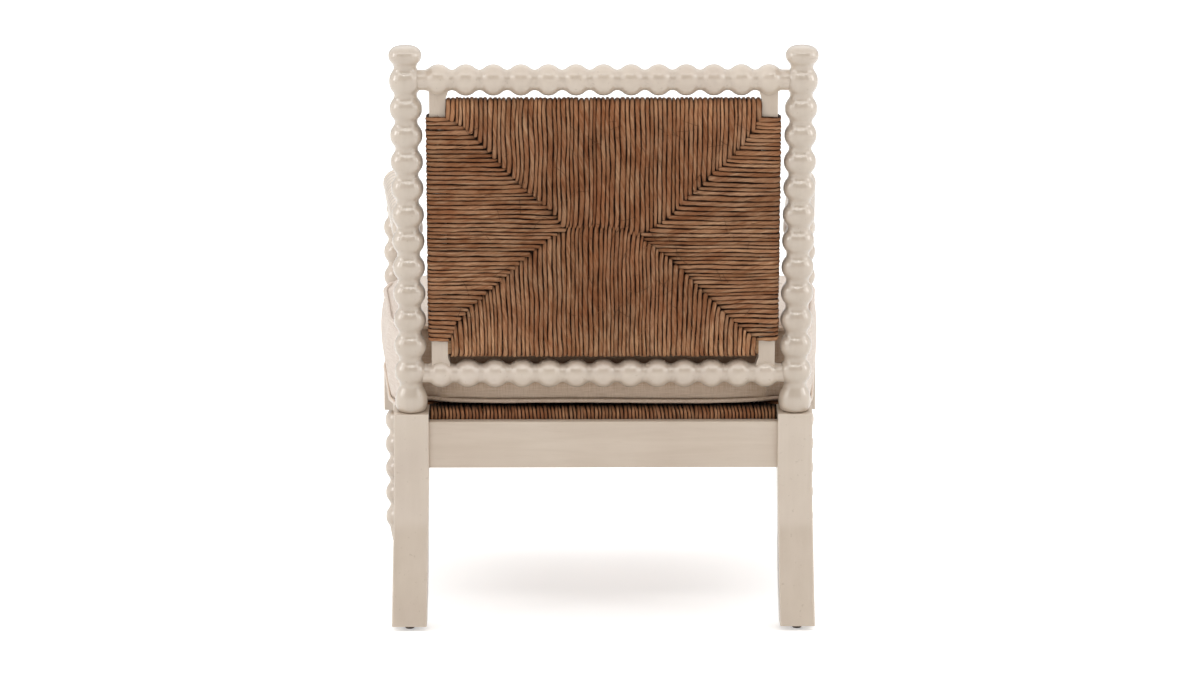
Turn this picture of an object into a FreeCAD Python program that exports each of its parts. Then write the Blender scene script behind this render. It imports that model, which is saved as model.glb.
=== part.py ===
import FreeCAD, Part
import math
import os
import Sketcher
from FreeCAD import Placement, Rotation, Vector

# Bobbin-turned armchair with a rush back panel, a rush drop-in seat and a loose
# box cushion. Millimetres, +Z up, the sitter faces -Y, +X is the sitter's left.
# The origin is on the floor in the middle of the chair's bounding box.
# "Plan" coordinates below put Y = 0 on the axis of the rear posts at the
# shoulder; the cell origin_shift moves the chair so that the origin is central.

doc = FreeCAD.newDocument("bobbin_chair")

# ---------------------------------------------------------------- dimensions
sheet = doc.addObject("Spreadsheet::Sheet", "dims")
CELLS = [
    ("origin_shift", 261.84),
    # turned work
    ("bead_pitch", 39.5), ("post_pitch", 39.25), ("head_pitch", 41.1),
    ("hollow_r", 10.0),
    ("post_crest_r", 23.5), ("post_neck_r", 16.5),
    ("arm_crest_r", 23.2), ("arm_neck_r", 16.2),
    ("top_crest_r", 22.6), ("top_neck_r", 15.0),
    ("low_crest_r", 21.3), ("low_neck_r", 14.0),
    ("arm_end_r", 12.5), ("bore_gap", 0.12),
    ("bulb_crest_r", 23.8), ("bulb_crest_h", 13.0), ("bulb_base_r", 20.4),
    ("end_cove_r", 5.0),
    ("knob_side_r", 13.4), ("knob_height", 31.5), ("knob_waist", 0.3),
    # rear posts and legs
    ("post_x", 280.6), ("shoulder_z", 317.0), ("rake_deg", 7.34),
    ("post_splay_deg", 0.4), ("leg_side", 51.2), ("leg_foot_side", 51.0),
    ("leg_edge_r", 2.6), ("leg_straight_z", 226.0), ("leg_kick", 45.0),
    ("leg_foot_out", 3.2), ("glide_h", 7.0),
    # front legs
    ("front_x", 322.0), ("front_y", -570.0), ("block_side", 48.0),
    ("block_low_z", 224.8), ("block_top_z", 300.0), ("low_beads", 5),
    ("up_beads", 6), ("block_edge_r", 2.0),
    # arms and back
    ("arm_z", 584.0), ("arm_first", 599.2), ("top_rail_d", 493.4),
    ("low_rail_d", 56.1), ("stile_x", 238.3), ("stile_w", 23.5),
    ("stile_t", 20.0), ("stile_flare", 3.2), ("stile_house", 11.0),
    ("panel_low_d", 82.8), ("panel_top_d", 466.8), ("panel_half_w", 255.7),
    ("bar_w", 20.0), ("cord_t", 5.5),
    # seat rails
    ("rail_t", 25.0), ("rail_low_z", 234.0), ("rail_top_z", 302.0),
    ("rail_edge_r", 3.0), ("rear_rail_y", 7.5), ("front_rail_y", -577.5),
    ("tenon_t", 12.0), ("tenon_low_z", 244.0), ("tenon_h", 48.0),
    ("tenon_l", 22.0), ("tenon_gap", 0.15),
    # drop-in seat
    ("seat_low_z", 292.5), ("seat_top_z", 321.5), ("seat_bar_low_z", 298.0),
    ("seat_bar_h", 18.0), ("seat_bar_w", 30.0), ("seat_gap", 2.0),
    # corner blocks and fasteners
    ("brace_low_z", 262.0), ("brace_h", 30.0), ("screw_r", 2.2),
    ("screw_head_r", 4.2), ("screw_head_h", 2.6),
    ("glide_r", 8.0), ("glide_face_r", 6.0), ("nail_r", 1.3), ("nail_l", 18.0),
    # cushion
    ("cushion_low_z", 322.2), ("cushion_h", 112.0), ("cloth_t", 2.0),
    ("piping_r", 2.9), ("cushion_corner_r", 16.0), ("cushion_inner_r", 9.0),
    ("cushion_rear_corner_r", 6.0),
    ("zip_w", 9.0), ("zip_l", 380.0),
]
for row, (alias, value) in enumerate(CELLS, 1):
    sheet.set("A%d" % row, alias)
    sheet.set("B%d" % row, str(value))
    sheet.setAlias("B%d" % row, alias)
doc.recompute()
D = {alias: float(sheet.get(alias)) for alias, value in CELLS}

RAKE = math.radians(D["rake_deg"])
SPLAY = math.radians(D["post_splay_deg"])
YO = D["origin_shift"]


def post_point(side, d):
    """Plan point on a rear post's axis, d above the shoulder along the axis."""
    return Vector(side * (D["post_x"] + d * math.cos(RAKE) * math.sin(SPLAY)),
                  d * math.sin(RAKE),
                  D["shoulder_z"] + d * math.cos(RAKE) * math.cos(SPLAY))


# ------------------------------------------------------------------- helpers
def body(label, at=Vector(0, 0, 0), rot=Rotation()):
    b = doc.addObject("PartDesign::Body", label)
    b.Label = label
    b.Placement = Placement(Vector(at.x, at.y + YO, at.z), rot)
    return b


def origin(b, role):
    return [o for o in b.Origin.OriginFeatures if o.Role == role][0]


def sketch(b, role, name, offset=Placement()):
    s = b.newObject("Sketcher::SketchObject", name)
    s.AttachmentSupport = [(origin(b, role), "")]
    s.MapMode = "FlatFace"
    s.AttachmentOffset = offset
    return s


def seg(s, a, b):
    return s.addGeometry(Part.LineSegment(Vector(a[0], a[1], 0), Vector(b[0], b[1], 0)))


def arc3(s, centre, r, a0, a1):
    """Arc run anticlockwise from angle a0 to a1."""
    return s.addGeometry(Part.ArcOfCircle(
        Part.Circle(Vector(centre[0], centre[1], 0), Vector(0, 0, 1), r), a0, a1))


def rule(s, name, constraint, expression=None):
    i = s.addConstraint(constraint)
    s.renameConstraint(i, name)
    if expression:
        s.setExpression("Constraints." + name, expression)
    return i


C = Sketcher.Constraint


def chain(s, ids):
    """Closes a loop of (id, start, end) pieces with coincident ends."""
    for (a, _, ae), (b, bs, _) in zip(ids, ids[1:] + ids[:1]):
        s.addConstraint(C("Coincident", a, ae, b, bs))


def bead_angles(crest, neck, pitch, hollow):
    dl = crest - neck
    total = (dl * dl + pitch * pitch / 4.0) / (2.0 * dl)
    return total - hollow, math.atan2(pitch / 2.0, (crest - total + hollow) - (neck + hollow))


def bead_sketch(b, role, name, crest, neck, pitch, at, offset=Placement()):
    """Half profile of one bead, neck to neck, beside the sketch's upright axis.
    Axial distance runs up the sketch, radius runs across it."""
    s = sketch(b, role, name, offset)
    rc, rv, p, rv2 = D[crest], D[neck], D[pitch], D["hollow_r"]
    big, low = bead_angles(rc, rv, p, rv2)
    g0 = seg(s, (0, at + p), (0, at))
    g1 = seg(s, (0, at), (rv, at))
    g2 = arc3(s, (rv + rv2, at), rv2, low, math.pi)
    g3 = arc3(s, (rc - big, at + p / 2), big, low - math.pi, math.pi - low)
    g4 = arc3(s, (rv + rv2, at + p), rv2, math.pi, 2 * math.pi - low)
    g5 = seg(s, (rv, at + p), (0, at + p))
    s.addConstraint(C("Coincident", g0, 2, g1, 1))
    s.addConstraint(C("Coincident", g1, 2, g2, 2))
    s.addConstraint(C("Tangent", g2, 1, g3, 1))
    s.addConstraint(C("Tangent", g3, 2, g4, 2))
    s.addConstraint(C("Coincident", g4, 1, g5, 1))
    s.addConstraint(C("Coincident", g5, 2, g0, 1))
    s.addConstraint(C("Horizontal", g1))
    s.addConstraint(C("Horizontal", g5))
    s.addConstraint(C("Vertical", g0))
    s.addConstraint(C("PointOnObject", g0, 2, -2))
    if abs(at) > 1e-9:
        s.addConstraint(C("DistanceY", -1, 1, g0, 2, at))
    else:
        s.addConstraint(C("PointOnObject", g0, 2, -1))
    rule(s, "neck", C("DistanceX", g1, 1, g1, 2, rv), "dims." + neck)
    rule(s, "pitch", C("DistanceY", g1, 2, g5, 1, p), "dims." + pitch)
    rule(s, "hollow", C("Radius", g2, rv2), "dims.hollow_r")
    s.addConstraint(C("Equal", g2, g4))
    s.addConstraint(C("Horizontal", g2, 3, g1, 2))
    s.addConstraint(C("Horizontal", g4, 3, g5, 1))
    s.addConstraint(C("Vertical", g2, 2, g4, 1))
    rule(s, "crest", C("Radius", g3, big),
         "(pow(dims.{c} - dims.{n}; 2) + pow(dims.{p} / 2; 2)) / (2 * (dims.{c} - dims.{n})) - dims.hollow_r"
         .format(c=crest, n=neck, p=pitch))
    return s


def spin(b, s, name, axis="V_Axis"):
    r = b.newObject("PartDesign::Revolution", name)
    r.Profile = s
    r.ReferenceAxis = (s, [axis])
    r.Angle = 360
    return r


def row_of_beads(b, role, name, crest, neck, pitch, at, count, offset=Placement()):
    s = bead_sketch(b, role, name + "_profile", crest, neck, pitch, at, offset)
    r = spin(b, s, name + "_first")
    doc.recompute()
    p = b.newObject("PartDesign::LinearPattern", name)
    p.Originals = [r]
    p.Direction = (s, ["V_Axis"])
    p.Length = D[pitch] * (count - 1)
    p.Occurrences = count
    p.setExpression("Length", "dims.%s * %d" % (pitch, count - 1))
    b.Tip = p
    doc.recompute()
    return p


def turned_sketch(b, role, name, items, offset=Placement()):
    """Closed half profile from a list of ('line', p, q) and
    ('arc', centre, radius, a0, a1, forward) pieces; the first piece lies on
    the axis."""
    s = sketch(b, role, name, offset)
    ids = []
    for it in items:
        if it[0] == "line":
            ids.append((seg(s, it[1], it[2]), 1, 2))
        else:
            i = arc3(s, it[1], it[2], it[3], it[4])
            ids.append((i, 1, 2) if it[5] else (i, 2, 1))
    chain(s, ids)
    s.addConstraint(C("PointOnObject", ids[0][0], 1, -2))
    s.addConstraint(C("PointOnObject", ids[0][0], 2, -2))
    return s, ids


def knob_items(rv, at, bead_pieces, base):
    """Flattened knob above the neck at height 'at' with neck radius rv.
    bead_pieces bring the profile from (0, base) out and up to (rv, at)."""
    side, hollow = D["knob_side_r"], D["hollow_r"]
    cx = D["post_crest_r"] + D["knob_waist"] - side - (D["post_neck_r"] - rv)
    dz = math.sqrt((side + hollow) ** 2 - (rv + hollow - cx) ** 2)
    cz = at + dz
    a = math.atan2(cz - at, cx - (rv + hollow))
    join = math.radians(75.0)
    # the crown's arc is centred on the axis and tangent to the side arc
    t = cx / math.cos(join)
    crown_c = cz - t * math.sin(join)
    crown_r = t + side
    top = crown_c + crown_r
    items = [("line", (0, top), (0, base))] + bead_pieces
    items.append(("arc", (rv + hollow, at), hollow, a, math.pi, False))
    items.append(("arc", (cx, cz), side, a - math.pi, join, True))
    items.append(("arc", (0, crown_c), crown_r, join, math.pi / 2, True))
    return items, top


def bead_pieces(rc, rv, p, at):
    """Profile pieces of one bead from (0, at) out and up to (rv, at + p)."""
    hollow = D["hollow_r"]
    big, low = bead_angles(rc, rv, p, hollow)
    return [("line", (0, at), (rv, at)),
            ("arc", (rv + hollow, at), hollow, low, math.pi, False),
            ("arc", (rc - big, at + p / 2), big, low - math.pi, math.pi - low, True),
            ("arc", (rv + hollow, at + p), hollow, math.pi, 2 * math.pi - low, False)]


def bulb_items():
    """Lowest bead of a rear post: broad where it stands on the square part,
    widest a little above it, then drawn in to the first neck."""
    rc, rb, hc = D["bulb_crest_r"], D["bulb_base_r"], D["bulb_crest_h"]
    rv, p, hollow = D["post_neck_r"], D["post_pitch"], D["hollow_r"]
    big, low = bead_angles(rc, rv, 2 * (p - hc), hollow)
    # lower arc, ending in a small bevel just above the shoulder
    r1 = (hc * hc + (rc - rb) ** 2) / (2 * (rc - rb))
    h0 = 1.6
    foot = rc - r1 + math.sqrt(r1 * r1 - (hc - h0) ** 2)
    a0 = -math.atan2(hc - h0, foot - rc + r1)
    return [("line", (0, p), (0, 0)), ("line", (0, 0), (rb - 1.4, 0)), ("line", (rb - 1.4, 0), (foot, h0)),
            ("arc", (rc - r1, hc), r1, a0, 0.0, True),
            ("arc", (rc - big, hc), big, 0.0, math.pi - low, True),
            ("arc", (rv + hollow, p), hollow, math.pi, 2 * math.pi - low, False),
            ("line", (rv, p), (0, p))]


def end_items(rc, rv, p, r_end, crest_at, tip, cove=None):
    """Turned rail end: from the tip of a plain round tenon of radius r_end at
    axial position 'tip' up to the neck half a pitch past the crest."""
    hollow = D["hollow_r"]
    big, low = bead_angles(rc, rv, p, hollow)
    cx = rc - big
    cove = cove or D["end_cove_r"]
    run = math.sqrt((big + cove) ** 2 - (r_end + cove - cx) ** 2)
    start = crest_at - run
    a = math.atan2(run, cx - (r_end + cove))
    top = crest_at + p / 2
    return [("line", (0, top), (0, tip)), ("line", (0, tip), (r_end, tip)),
            ("line", (r_end, tip), (r_end, start)),
            ("arc", (r_end + cove, start), cove, a, math.pi, False),
            ("arc", (cx, crest_at), big, a - math.pi, math.pi - low, True),
            ("arc", (rv + hollow, top), hollow, math.pi, 2 * math.pi - low, False),
            ("line", (rv, top), (0, top))]


def polygon_sketch(b, role, name, pts, offset=Placement()):
    s = sketch(b, role, name, offset)
    ids = [(seg(s, p, q), 1, 2) for p, q in zip(pts, pts[1:] + pts[:1])]
    chain(s, ids)
    return s


def rect_sketch(b, role, name, cx, cy, w, h, w_expr=None, h_expr=None, offset=Placement()):
    s = polygon_sketch(b, role, name, [(cx - w / 2, cy - h / 2), (cx + w / 2, cy - h / 2),
                                       (cx + w / 2, cy + h / 2), (cx - w / 2, cy + h / 2)], offset)
    for i in (0, 2):
        s.addConstraint(C("Horizontal", i))
    for i in (1, 3):
        s.addConstraint(C("Vertical", i))
    rule(s, "width", C("DistanceX", 0, 1, 0, 2, w), w_expr)
    rule(s, "height", C("DistanceY", 1, 1, 1, 2, h), h_expr)
    s.addConstraint(C("DistanceX", 0, 1, cx - w / 2) if abs(cx - w / 2) > 1e-9 else C("PointOnObject", 0, 1, -2))
    s.addConstraint(C("DistanceY", 0, 1, cy - h / 2) if abs(cy - h / 2) > 1e-9 else C("PointOnObject", 0, 1, -1))
    return s


def circle_sketch(b, role, name, cx, cy, r, r_expr=None, offset=Placement()):
    s = sketch(b, role, name, offset)
    g = s.addGeometry(Part.Circle(Vector(cx, cy, 0), Vector(0, 0, 1), r))
    rule(s, "radius", C("Radius", g, r), r_expr)
    return s


def rounded_sketch(b, role, name, side, edge, cx=0.0, cy=0.0, offset=Placement()):
    """Square with rounded corners, centred on (cx, cy)."""
    s = sketch(b, role, name, offset)
    h = side / 2.0
    k = h - edge
    ids = []
    for n, (sx, sy) in enumerate([(1, -1), (1, 1), (-1, 1), (-1, -1)]):
        a0 = -math.pi / 2 + n * math.pi / 2
        ids.append((arc3(s, (cx + sx * k, cy + sy * k), edge, a0, a0 + math.pi / 2), 1, 2))
        p = (cx + sx * k + edge * math.cos(a0 + math.pi / 2), cy + sy * k + edge * math.sin(a0 + math.pi / 2))
        nx, ny = [(1, 1), (-1, 1), (-1, -1), (1, -1)][n]
        q = (cx + nx * k + edge * math.cos(a0 + math.pi / 2), cy + ny * k + edge * math.sin(a0 + math.pi / 2))
        ids.append((seg(s, p, q), 1, 2))
    chain(s, ids)
    return s


def pad(b, s, name, length, expr=None, reversed_=False, midplane=False):
    p = b.newObject("PartDesign::Pad", name)
    p.Profile = s
    p.Length = length
    if midplane:
        p.Midplane = True
    p.Reversed = reversed_
    if expr:
        p.setExpression("Length", expr)
    doc.recompute()
    return p


def pocket(b, s, name, length=None, expr=None, reversed_=False):
    """Cuts away from (or, reversed, along) the sketch's normal; it must remove wood."""
    before = b.Shape.Volume
    p = b.newObject("PartDesign::Pocket", name)
    p.Profile = s
    if length is None:
        p.Type = "ThroughAll"
    else:
        p.Length = length
        if expr:
            p.setExpression("Length", expr)
    p.Reversed = reversed_
    doc.recompute()
    if not before - p.Shape.Volume > 1.0:
        raise RuntimeError("the pocket %s of %s removes nothing" % (name, b.Label))
    return p


def lift(z):
    return Placement(Vector(0, 0, z), Rotation())


R_XZ = Rotation(Vector(1, 0, 0), 90)      # sketch axes of the XZ plane


def offset_on_xz(rot, at=Vector(0, 0, 0)):
    """Attachment offset on the XZ plane for a sketch turned by rot and moved to at."""
    inv = R_XZ.inverted()
    return Placement(inv.multVec(at), inv.multiply(rot).multiply(R_XZ))


SIDES = ((1, "left"), (-1, "right"))
RAKE_ROT = Rotation(Vector(1, 0, 0), -D["rake_deg"])

# plan lines of the side rails: centre line from the rear posts to the front legs
SLOPE = (D["front_x"] - D["post_x"]) / -D["front_y"]
TURN = math.atan(SLOPE)


def line_x(y, off=0.0):
    """X of the left side rail's centre line at plan y, moved outward by off."""
    return D["post_x"] + SLOPE * -y + off / math.cos(TURN)


# ---------------------------------------------------------------- rear posts
def rear_post(side, label):
    b = body(label, Vector(side * D["post_x"], 0, 0))
    z0 = D["shoulder_z"]
    h = D["leg_side"] / 2.0
    # square part by the seat: straight, its top face square to the raked axis
    low = D["leg_straight_z"]
    s = sketch(b, "YZ_Plane", "leg_side_view")
    drop = math.tan(RAKE) * h
    pts = [(-h, low), (h, low), (h, z0 - drop), (-h, z0 + drop)]
    ids = [(seg(s, p, q), 1, 2) for p, q in zip(pts, pts[1:] + pts[:1])]
    chain(s, ids)
    s.addConstraint(C("Horizontal", 0))
    s.addConstraint(C("Vertical", 1))
    s.addConstraint(C("Vertical", 3))
    rule(s, "depth", C("DistanceX", 0, 1, 0, 2, 2 * h), "dims.leg_side")
    rule(s, "foot_of_straight", C("DistanceY", 0, 1, low), "dims.leg_straight_z")
    rule(s, "half_depth", C("DistanceX", -1, 1, 0, 2, h), "dims.leg_side / 2")
    rule(s, "shoulder_rear", C("DistanceY", -1, 1, 1, 2, z0 - drop),
         "dims.shoulder_z - tan(dims.rake_deg * 1 deg) * dims.leg_side / 2")
    rule(s, "shoulder_front", C("DistanceY", -1, 1, 2, 2, z0 + drop),
         "dims.shoulder_z + tan(dims.rake_deg * 1 deg) * dims.leg_side / 2")
    pad(b, s, "leg_straight", 2 * h, "dims.leg_side", midplane=True)
    f = b.newObject("PartDesign::Fillet", "leg_edges")
    edges = []
    for n, e in enumerate(b.Shape.Edges, 1):
        bb = e.BoundBox
        if bb.XLength < 0.01 and bb.YLength < 0.01 and bb.ZLength > 40:
            edges.append("Edge%d" % n)
    f.Base = (b.Group[-2] if b.Group[-1] == f else b.Tip, edges)
    f.Radius = D["leg_edge_r"]
    f.setExpression("Radius", "dims.leg_edge_r")
    doc.recompute()
    # the leg below sweeps back to the floor and tapers a little
    foot = D["glide_h"]
    names = []
    for n, t in enumerate((0.0, 0.2, 0.45, 0.72, 1.0)):
        z = low + (foot - low) * t
        sz = D["leg_side"] + (D["leg_foot_side"] - D["leg_side"]) * t
        y = D["leg_kick"] * t ** 1.7
        x = side * D["leg_foot_out"] * t
        names.append(rounded_sketch(b, "XY_Plane", "leg_section_%d" % n, sz, D["leg_edge_r"], x, y, lift(z)))
    loft = b.newObject("PartDesign::AdditiveLoft", "leg_sweep")
    loft.Profile = names[0]
    loft.Sections = names[1:]
    loft.Ruled = False
    doc.recompute()
    # turned part on the raked and slightly splayed axis
    turn = Rotation(Vector(0, 1, 0), side * D["post_splay_deg"]).multiply(RAKE_ROT)
    off = offset_on_xz(turn, Vector(0, 0, z0))
    s, ids = turned_sketch(b, "XZ_Plane", "bulb_profile", bulb_items(), off)
    spin(b, s, "bulb")
    doc.recompute()
    row_of_beads(b, "XZ_Plane", "beads", "post_crest_r", "post_neck_r", "post_pitch", D["post_pitch"], 11, off)
    top = 12 * D["post_pitch"]
    items, tip = knob_items(D["post_neck_r"], top + D["head_pitch"],
                            bead_pieces(D["post_crest_r"], D["post_neck_r"], D["head_pitch"], top), top)
    s, ids = turned_sketch(b, "XZ_Plane", "head_profile", items, off)
    spin(b, s, "head")
    doc.recompute()
    # round bores for the two back rails, blind, from the inner side
    for nm, d in (("top", D["top_rail_d"]), ("low", D["low_rail_d"])):
        end = nm + "_neck_r"
        p = post_point(side, d)
        o = Placement(Vector(0, 0, (p.x - side * D["post_x"]) + side * 6.0), Rotation())
        s = circle_sketch(b, "YZ_Plane", nm + "_bore_circle", p.y, p.z, D[end] + D["bore_gap"],
                          "dims.%s + dims.bore_gap" % end, o)
        pocket(b, s, nm + "_bore", reversed_=(side < 0))
    # bore for the arm, blind, from the front, along the arm
    p = arm_start(side)
    a = arm_turn(side)
    o = offset_on_xz(Rotation(Vector(0, 0, 1), a), Vector(p.x - side * D["post_x"], p.y, p.z)
                     + Rotation(Vector(0, 0, 1), a).multVec(Vector(0, 6.0, 0)))
    s = circle_sketch(b, "XZ_Plane", "arm_bore_circle", 0, 0, D["arm_end_r"] + D["bore_gap"],
                      "dims.arm_end_r + dims.bore_gap", o)
    pocket(b, s, "arm_bore", reversed_=True)
    # mortises of the rear rail and the side rail
    g, t2, z1 = D["tenon_gap"], D["tenon_t"] / 2.0, D["tenon_low_z"]
    x_in = -side * h
    deep = -side * (h - D["tenon_l"] - 1.0)
    ry = D["rear_rail_y"]
    s = polygon_sketch(b, "XY_Plane", "rear_mortise_plan",
                       [(x_in * 1.2, ry - t2 - g), (deep, ry - t2 - g), (deep, ry + t2 + g), (x_in * 1.2, ry + t2 + g)],
                       lift(z1 - g))
    pocket(b, s, "rear_mortise", D["tenon_h"] + 2 * g, "dims.tenon_h + 2 * dims.tenon_gap", True)
    y_in, y_deep = -h - 6.0, -h + D["tenon_l"] + 0.5
    w = t2 + g
    s = polygon_sketch(b, "XY_Plane", "side_mortise_plan",
                       [(side * (line_x(y_in, w) - D["post_x"]), y_in), (side * (line_x(y_deep, w) - D["post_x"]), y_deep),
                        (side * (line_x(y_deep, -w) - D["post_x"]), y_deep), (side * (line_x(y_in, -w) - D["post_x"]), y_in)],
                       lift(z1 - g))
    pocket(b, s, "side_mortise", D["tenon_h"] + 2 * g, "dims.tenon_h + 2 * dims.tenon_gap", True)
    # nail hole for the glide
    s = circle_sketch(b, "XY_Plane", "glide_hole_circle", side * D["leg_foot_out"], D["leg_kick"],
                      D["nail_r"] + 0.05, "dims.nail_r + 0.05", lift(D["glide_h"] - 1.0))
    pocket(b, s, "glide_hole", D["nail_l"] - 2.0, None, True)
    return b


def arm_start(side):
    d = (D["arm_z"] - D["shoulder_z"]) / (math.cos(RAKE) * math.cos(SPLAY))
    return post_point(side, d)


def arm_turn(side):
    p = arm_start(1)
    return side * math.degrees(math.atan2(D["front_x"] - p.x, p.y - D["front_y"]))


# ---------------------------------------------------------------- front legs
def front_leg(side, label):
    b = body(label, Vector(side * D["front_x"], D["front_y"], 0))
    p = D["bead_pitch"]
    n1, n2 = int(D["low_beads"]), int(D["up_beads"])
    base = D["block_low_z"] - n1 * p
    h = D["block_side"] / 2.0
    # square block that takes the seat rails
    s = rounded_sketch(b, "XY_Plane", "block_section", 2 * h, D["block_edge_r"], offset=lift(D["block_low_z"]))
    pad(b, s, "block", D["block_top_z"] - D["block_low_z"], "dims.block_top_z - dims.block_low_z")
    row_of_beads(b, "XZ_Plane", "low_beads", "post_crest_r", "post_neck_r", "bead_pitch", base, n1)
    row_of_beads(b, "XZ_Plane", "up_beads", "post_crest_r", "post_neck_r", "bead_pitch", D["block_top_z"], n2)
    # small tapered foot
    rv = D["post_neck_r"]
    z7 = D["glide_h"]
    s, ids = turned_sketch(b, "XZ_Plane", "foot_profile",
                           [("line", (0, base), (0, z7)), ("line", (0, z7), (11.5, z7)),
                            ("line", (11.5, z7), (13.0, z7 + 1.5)), ("line", (13.0, z7 + 1.5), (rv, base)),
                            ("line", (rv, base), (0, base))])
    spin(b, s, "foot")
    doc.recompute()
    # neck and round tenon that carry the arm
    top = D["block_top_z"] + n2 * p
    r = D["arm_end_r"]
    tip = D["arm_z"] - 6.5
    s, ids = turned_sketch(b, "XZ_Plane", "neck_profile",
                           [("line", (0, tip), (0, top)), ("line", (0, top), (rv, top)),
                            ("arc", (rv + D["hollow_r"], top), D["hollow_r"],
                             math.pi - 0.55, math.pi, False),
                            ("arc", (rv + D["hollow_r"] - (D["hollow_r"] + 9.0) * math.cos(0.55),
                                     top + (D["hollow_r"] + 9.0) * math.sin(0.55)), 9.0, -0.55, 0.62, True),
                            ("line", (rv + D["hollow_r"] - (D["hollow_r"] + 9.0) * math.cos(0.55) + 9.0 * math.cos(0.62),
                                      top + (D["hollow_r"] + 9.0) * math.sin(0.55) + 9.0 * math.sin(0.62)), (r, top + 19.0)),
                            ("line", (r, top + 19.0), (r, tip)), ("line", (r, tip), (0, tip))])
    spin(b, s, "neck")
    doc.recompute()
    # mortises of the side rail and the front rail
    g, t2, z1 = D["tenon_gap"], D["tenon_t"] / 2.0, D["tenon_low_z"]
    w = t2 + g
    y_in, y_deep = D["front_y"] + h + 6.0, D["front_y"] + h - D["tenon_l"] + 1.5
    s = polygon_sketch(b, "XY_Plane", "side_mortise_plan",
                       [(side * (line_x(y_in, w) - D["front_x"]), y_in - D["front_y"]),
                        (side * (line_x(y_deep, w) - D["front_x"]), y_deep - D["front_y"]),
                        (side * (line_x(y_deep, -w) - D["front_x"]), y_deep - D["front_y"]),
                        (side * (line_x(y_in, -w) - D["front_x"]), y_in - D["front_y"])], lift(z1 - g))
    pocket(b, s, "side_mortise", D["tenon_h"] + 2 * g, "dims.tenon_h + 2 * dims.tenon_gap", True)
    fy = D["front_rail_y"] - D["front_y"]
    x_in, deep = -side * h * 1.2, -side * (h - D["tenon_l"] - 0.5)
    s = polygon_sketch(b, "XY_Plane", "front_mortise_plan",
                       [(x_in, fy - w), (deep, fy - w), (deep, fy + w), (x_in, fy + w)], lift(z1 - g))
    pocket(b, s, "front_mortise", D["tenon_h"] + 2 * g, "dims.tenon_h + 2 * dims.tenon_gap", True)
    s = circle_sketch(b, "XY_Plane", "glide_hole_circle", 0, 0, D["nail_r"] + 0.05, "dims.nail_r + 0.05",
                      lift(D["glide_h"] - 1.0))
    pocket(b, s, "glide_hole", D["nail_l"] - 2.0, None, True)
    return b


# ---------------------------------------------------------------------- arms
def arm(side, label):
    p0 = arm_start(side)
    rot = Rotation(Vector(0, 0, 1), arm_turn(side)).multiply(Rotation(Vector(1, 0, 0), 90))
    b = body(label, p0, rot)
    p, rc, rv = D["bead_pitch"], D["arm_crest_r"], D["arm_neck_r"]
    # local Z runs from the rear post to the front; 14 even beads, then a knob
    first = D["arm_first"] - 13 * p - p / 2
    row_of_beads(b, "XZ_Plane", "beads", "arm_crest_r", "arm_neck_r", "bead_pitch", first, 14)
    items = end_items(rc, rv, p, D["arm_end_r"], first - p / 2, -4.0)
    s, ids = turned_sketch(b, "XZ_Plane", "rear_end_profile", items)
    spin(b, s, "rear_end")
    doc.recompute()
    at = D["arm_first"] + p / 2
    items, tip = knob_items(rv, at, [("line", (0, at), (rv, at))], at)
    s, ids = turned_sketch(b, "XZ_Plane", "knob_profile", items)
    spin(b, s, "knob")
    doc.recompute()
    # blind bore from below for the front leg's tenon
    q = math.hypot(D["front_x"] - arm_start(1).x, arm_start(1).y - D["front_y"])
    # the XZ plane's sketch runs (x, z), its normal is local -Y, which points down
    s = circle_sketch(b, "XZ_Plane", "leg_bore_circle", 0, q, D["arm_end_r"] + D["bore_gap"],
                      "dims.arm_end_r + dims.bore_gap", Placement(Vector(0, 0, 6.0), Rotation()))
    pocket(b, s, "leg_bore", reversed_=True)
    return b


# ---------------------------------------------------------------- back rails
def back_rail(label, d, crest, neck, up):
    c = post_point(1, d)
    b = body(label, Vector(0, c.y, c.z), RAKE_ROT)
    p, rc, rv = D["bead_pitch"], D[crest], D[neck]
    tip = c.x + 4.5
    # the sketch's upright axis is laid along X
    lay = Placement(Vector(0, 0, 0), Rotation(Vector(0, 0, 1), -90))
    row_of_beads(b, "XZ_Plane", "beads", crest, neck, "bead_pitch", -5.5 * p, 11, lay)
    for nm, turn in (("end_a", -90), ("end_b", 90)):
        items = end_items(rc, rv, p, rv, -6 * p, -tip, D["hollow_r"])
        s, ids = turned_sketch(b, "XZ_Plane", nm + "_profile", items,
                               Placement(Vector(0, 0, 0), Rotation(Vector(0, 0, 1), turn)))
        spin(b, s, nm)
        doc.recompute()
    # housings for the ends of the two stiles
    g = D["bore_gap"]
    for n, sx in enumerate((1, -1)):
        s = rect_sketch(b, "XY_Plane", "stile_housing_%d_plan" % n, sx * (D["stile_x"] - D["stile_flare"] / 2), 0,
                        D["stile_w"] + D["stile_flare"] + 2 * g, D["stile_t"] + 2 * g,
                        "dims.stile_w + dims.stile_flare + 2 * dims.bore_gap", "dims.stile_t + 2 * dims.bore_gap",
                        lift((D["stile_house"] - 0.5) * (-up)))
        pocket(b, s, "stile_housing_%d" % n, reversed_=(up < 0))
    return b


# ---------------------------------------------------- back panel and its rush
MID_D = (D["panel_low_d"] + D["panel_top_d"]) / 2.0
PANEL_AT = post_point(1, MID_D)
PANEL_AT.x = 0.0
HALF_D = (D["panel_top_d"] - D["panel_low_d"]) / 2.0
BAR_OUT = HALF_D - D["cord_t"] + 0.5      # outer face of the panel's bars, from mid


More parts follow.
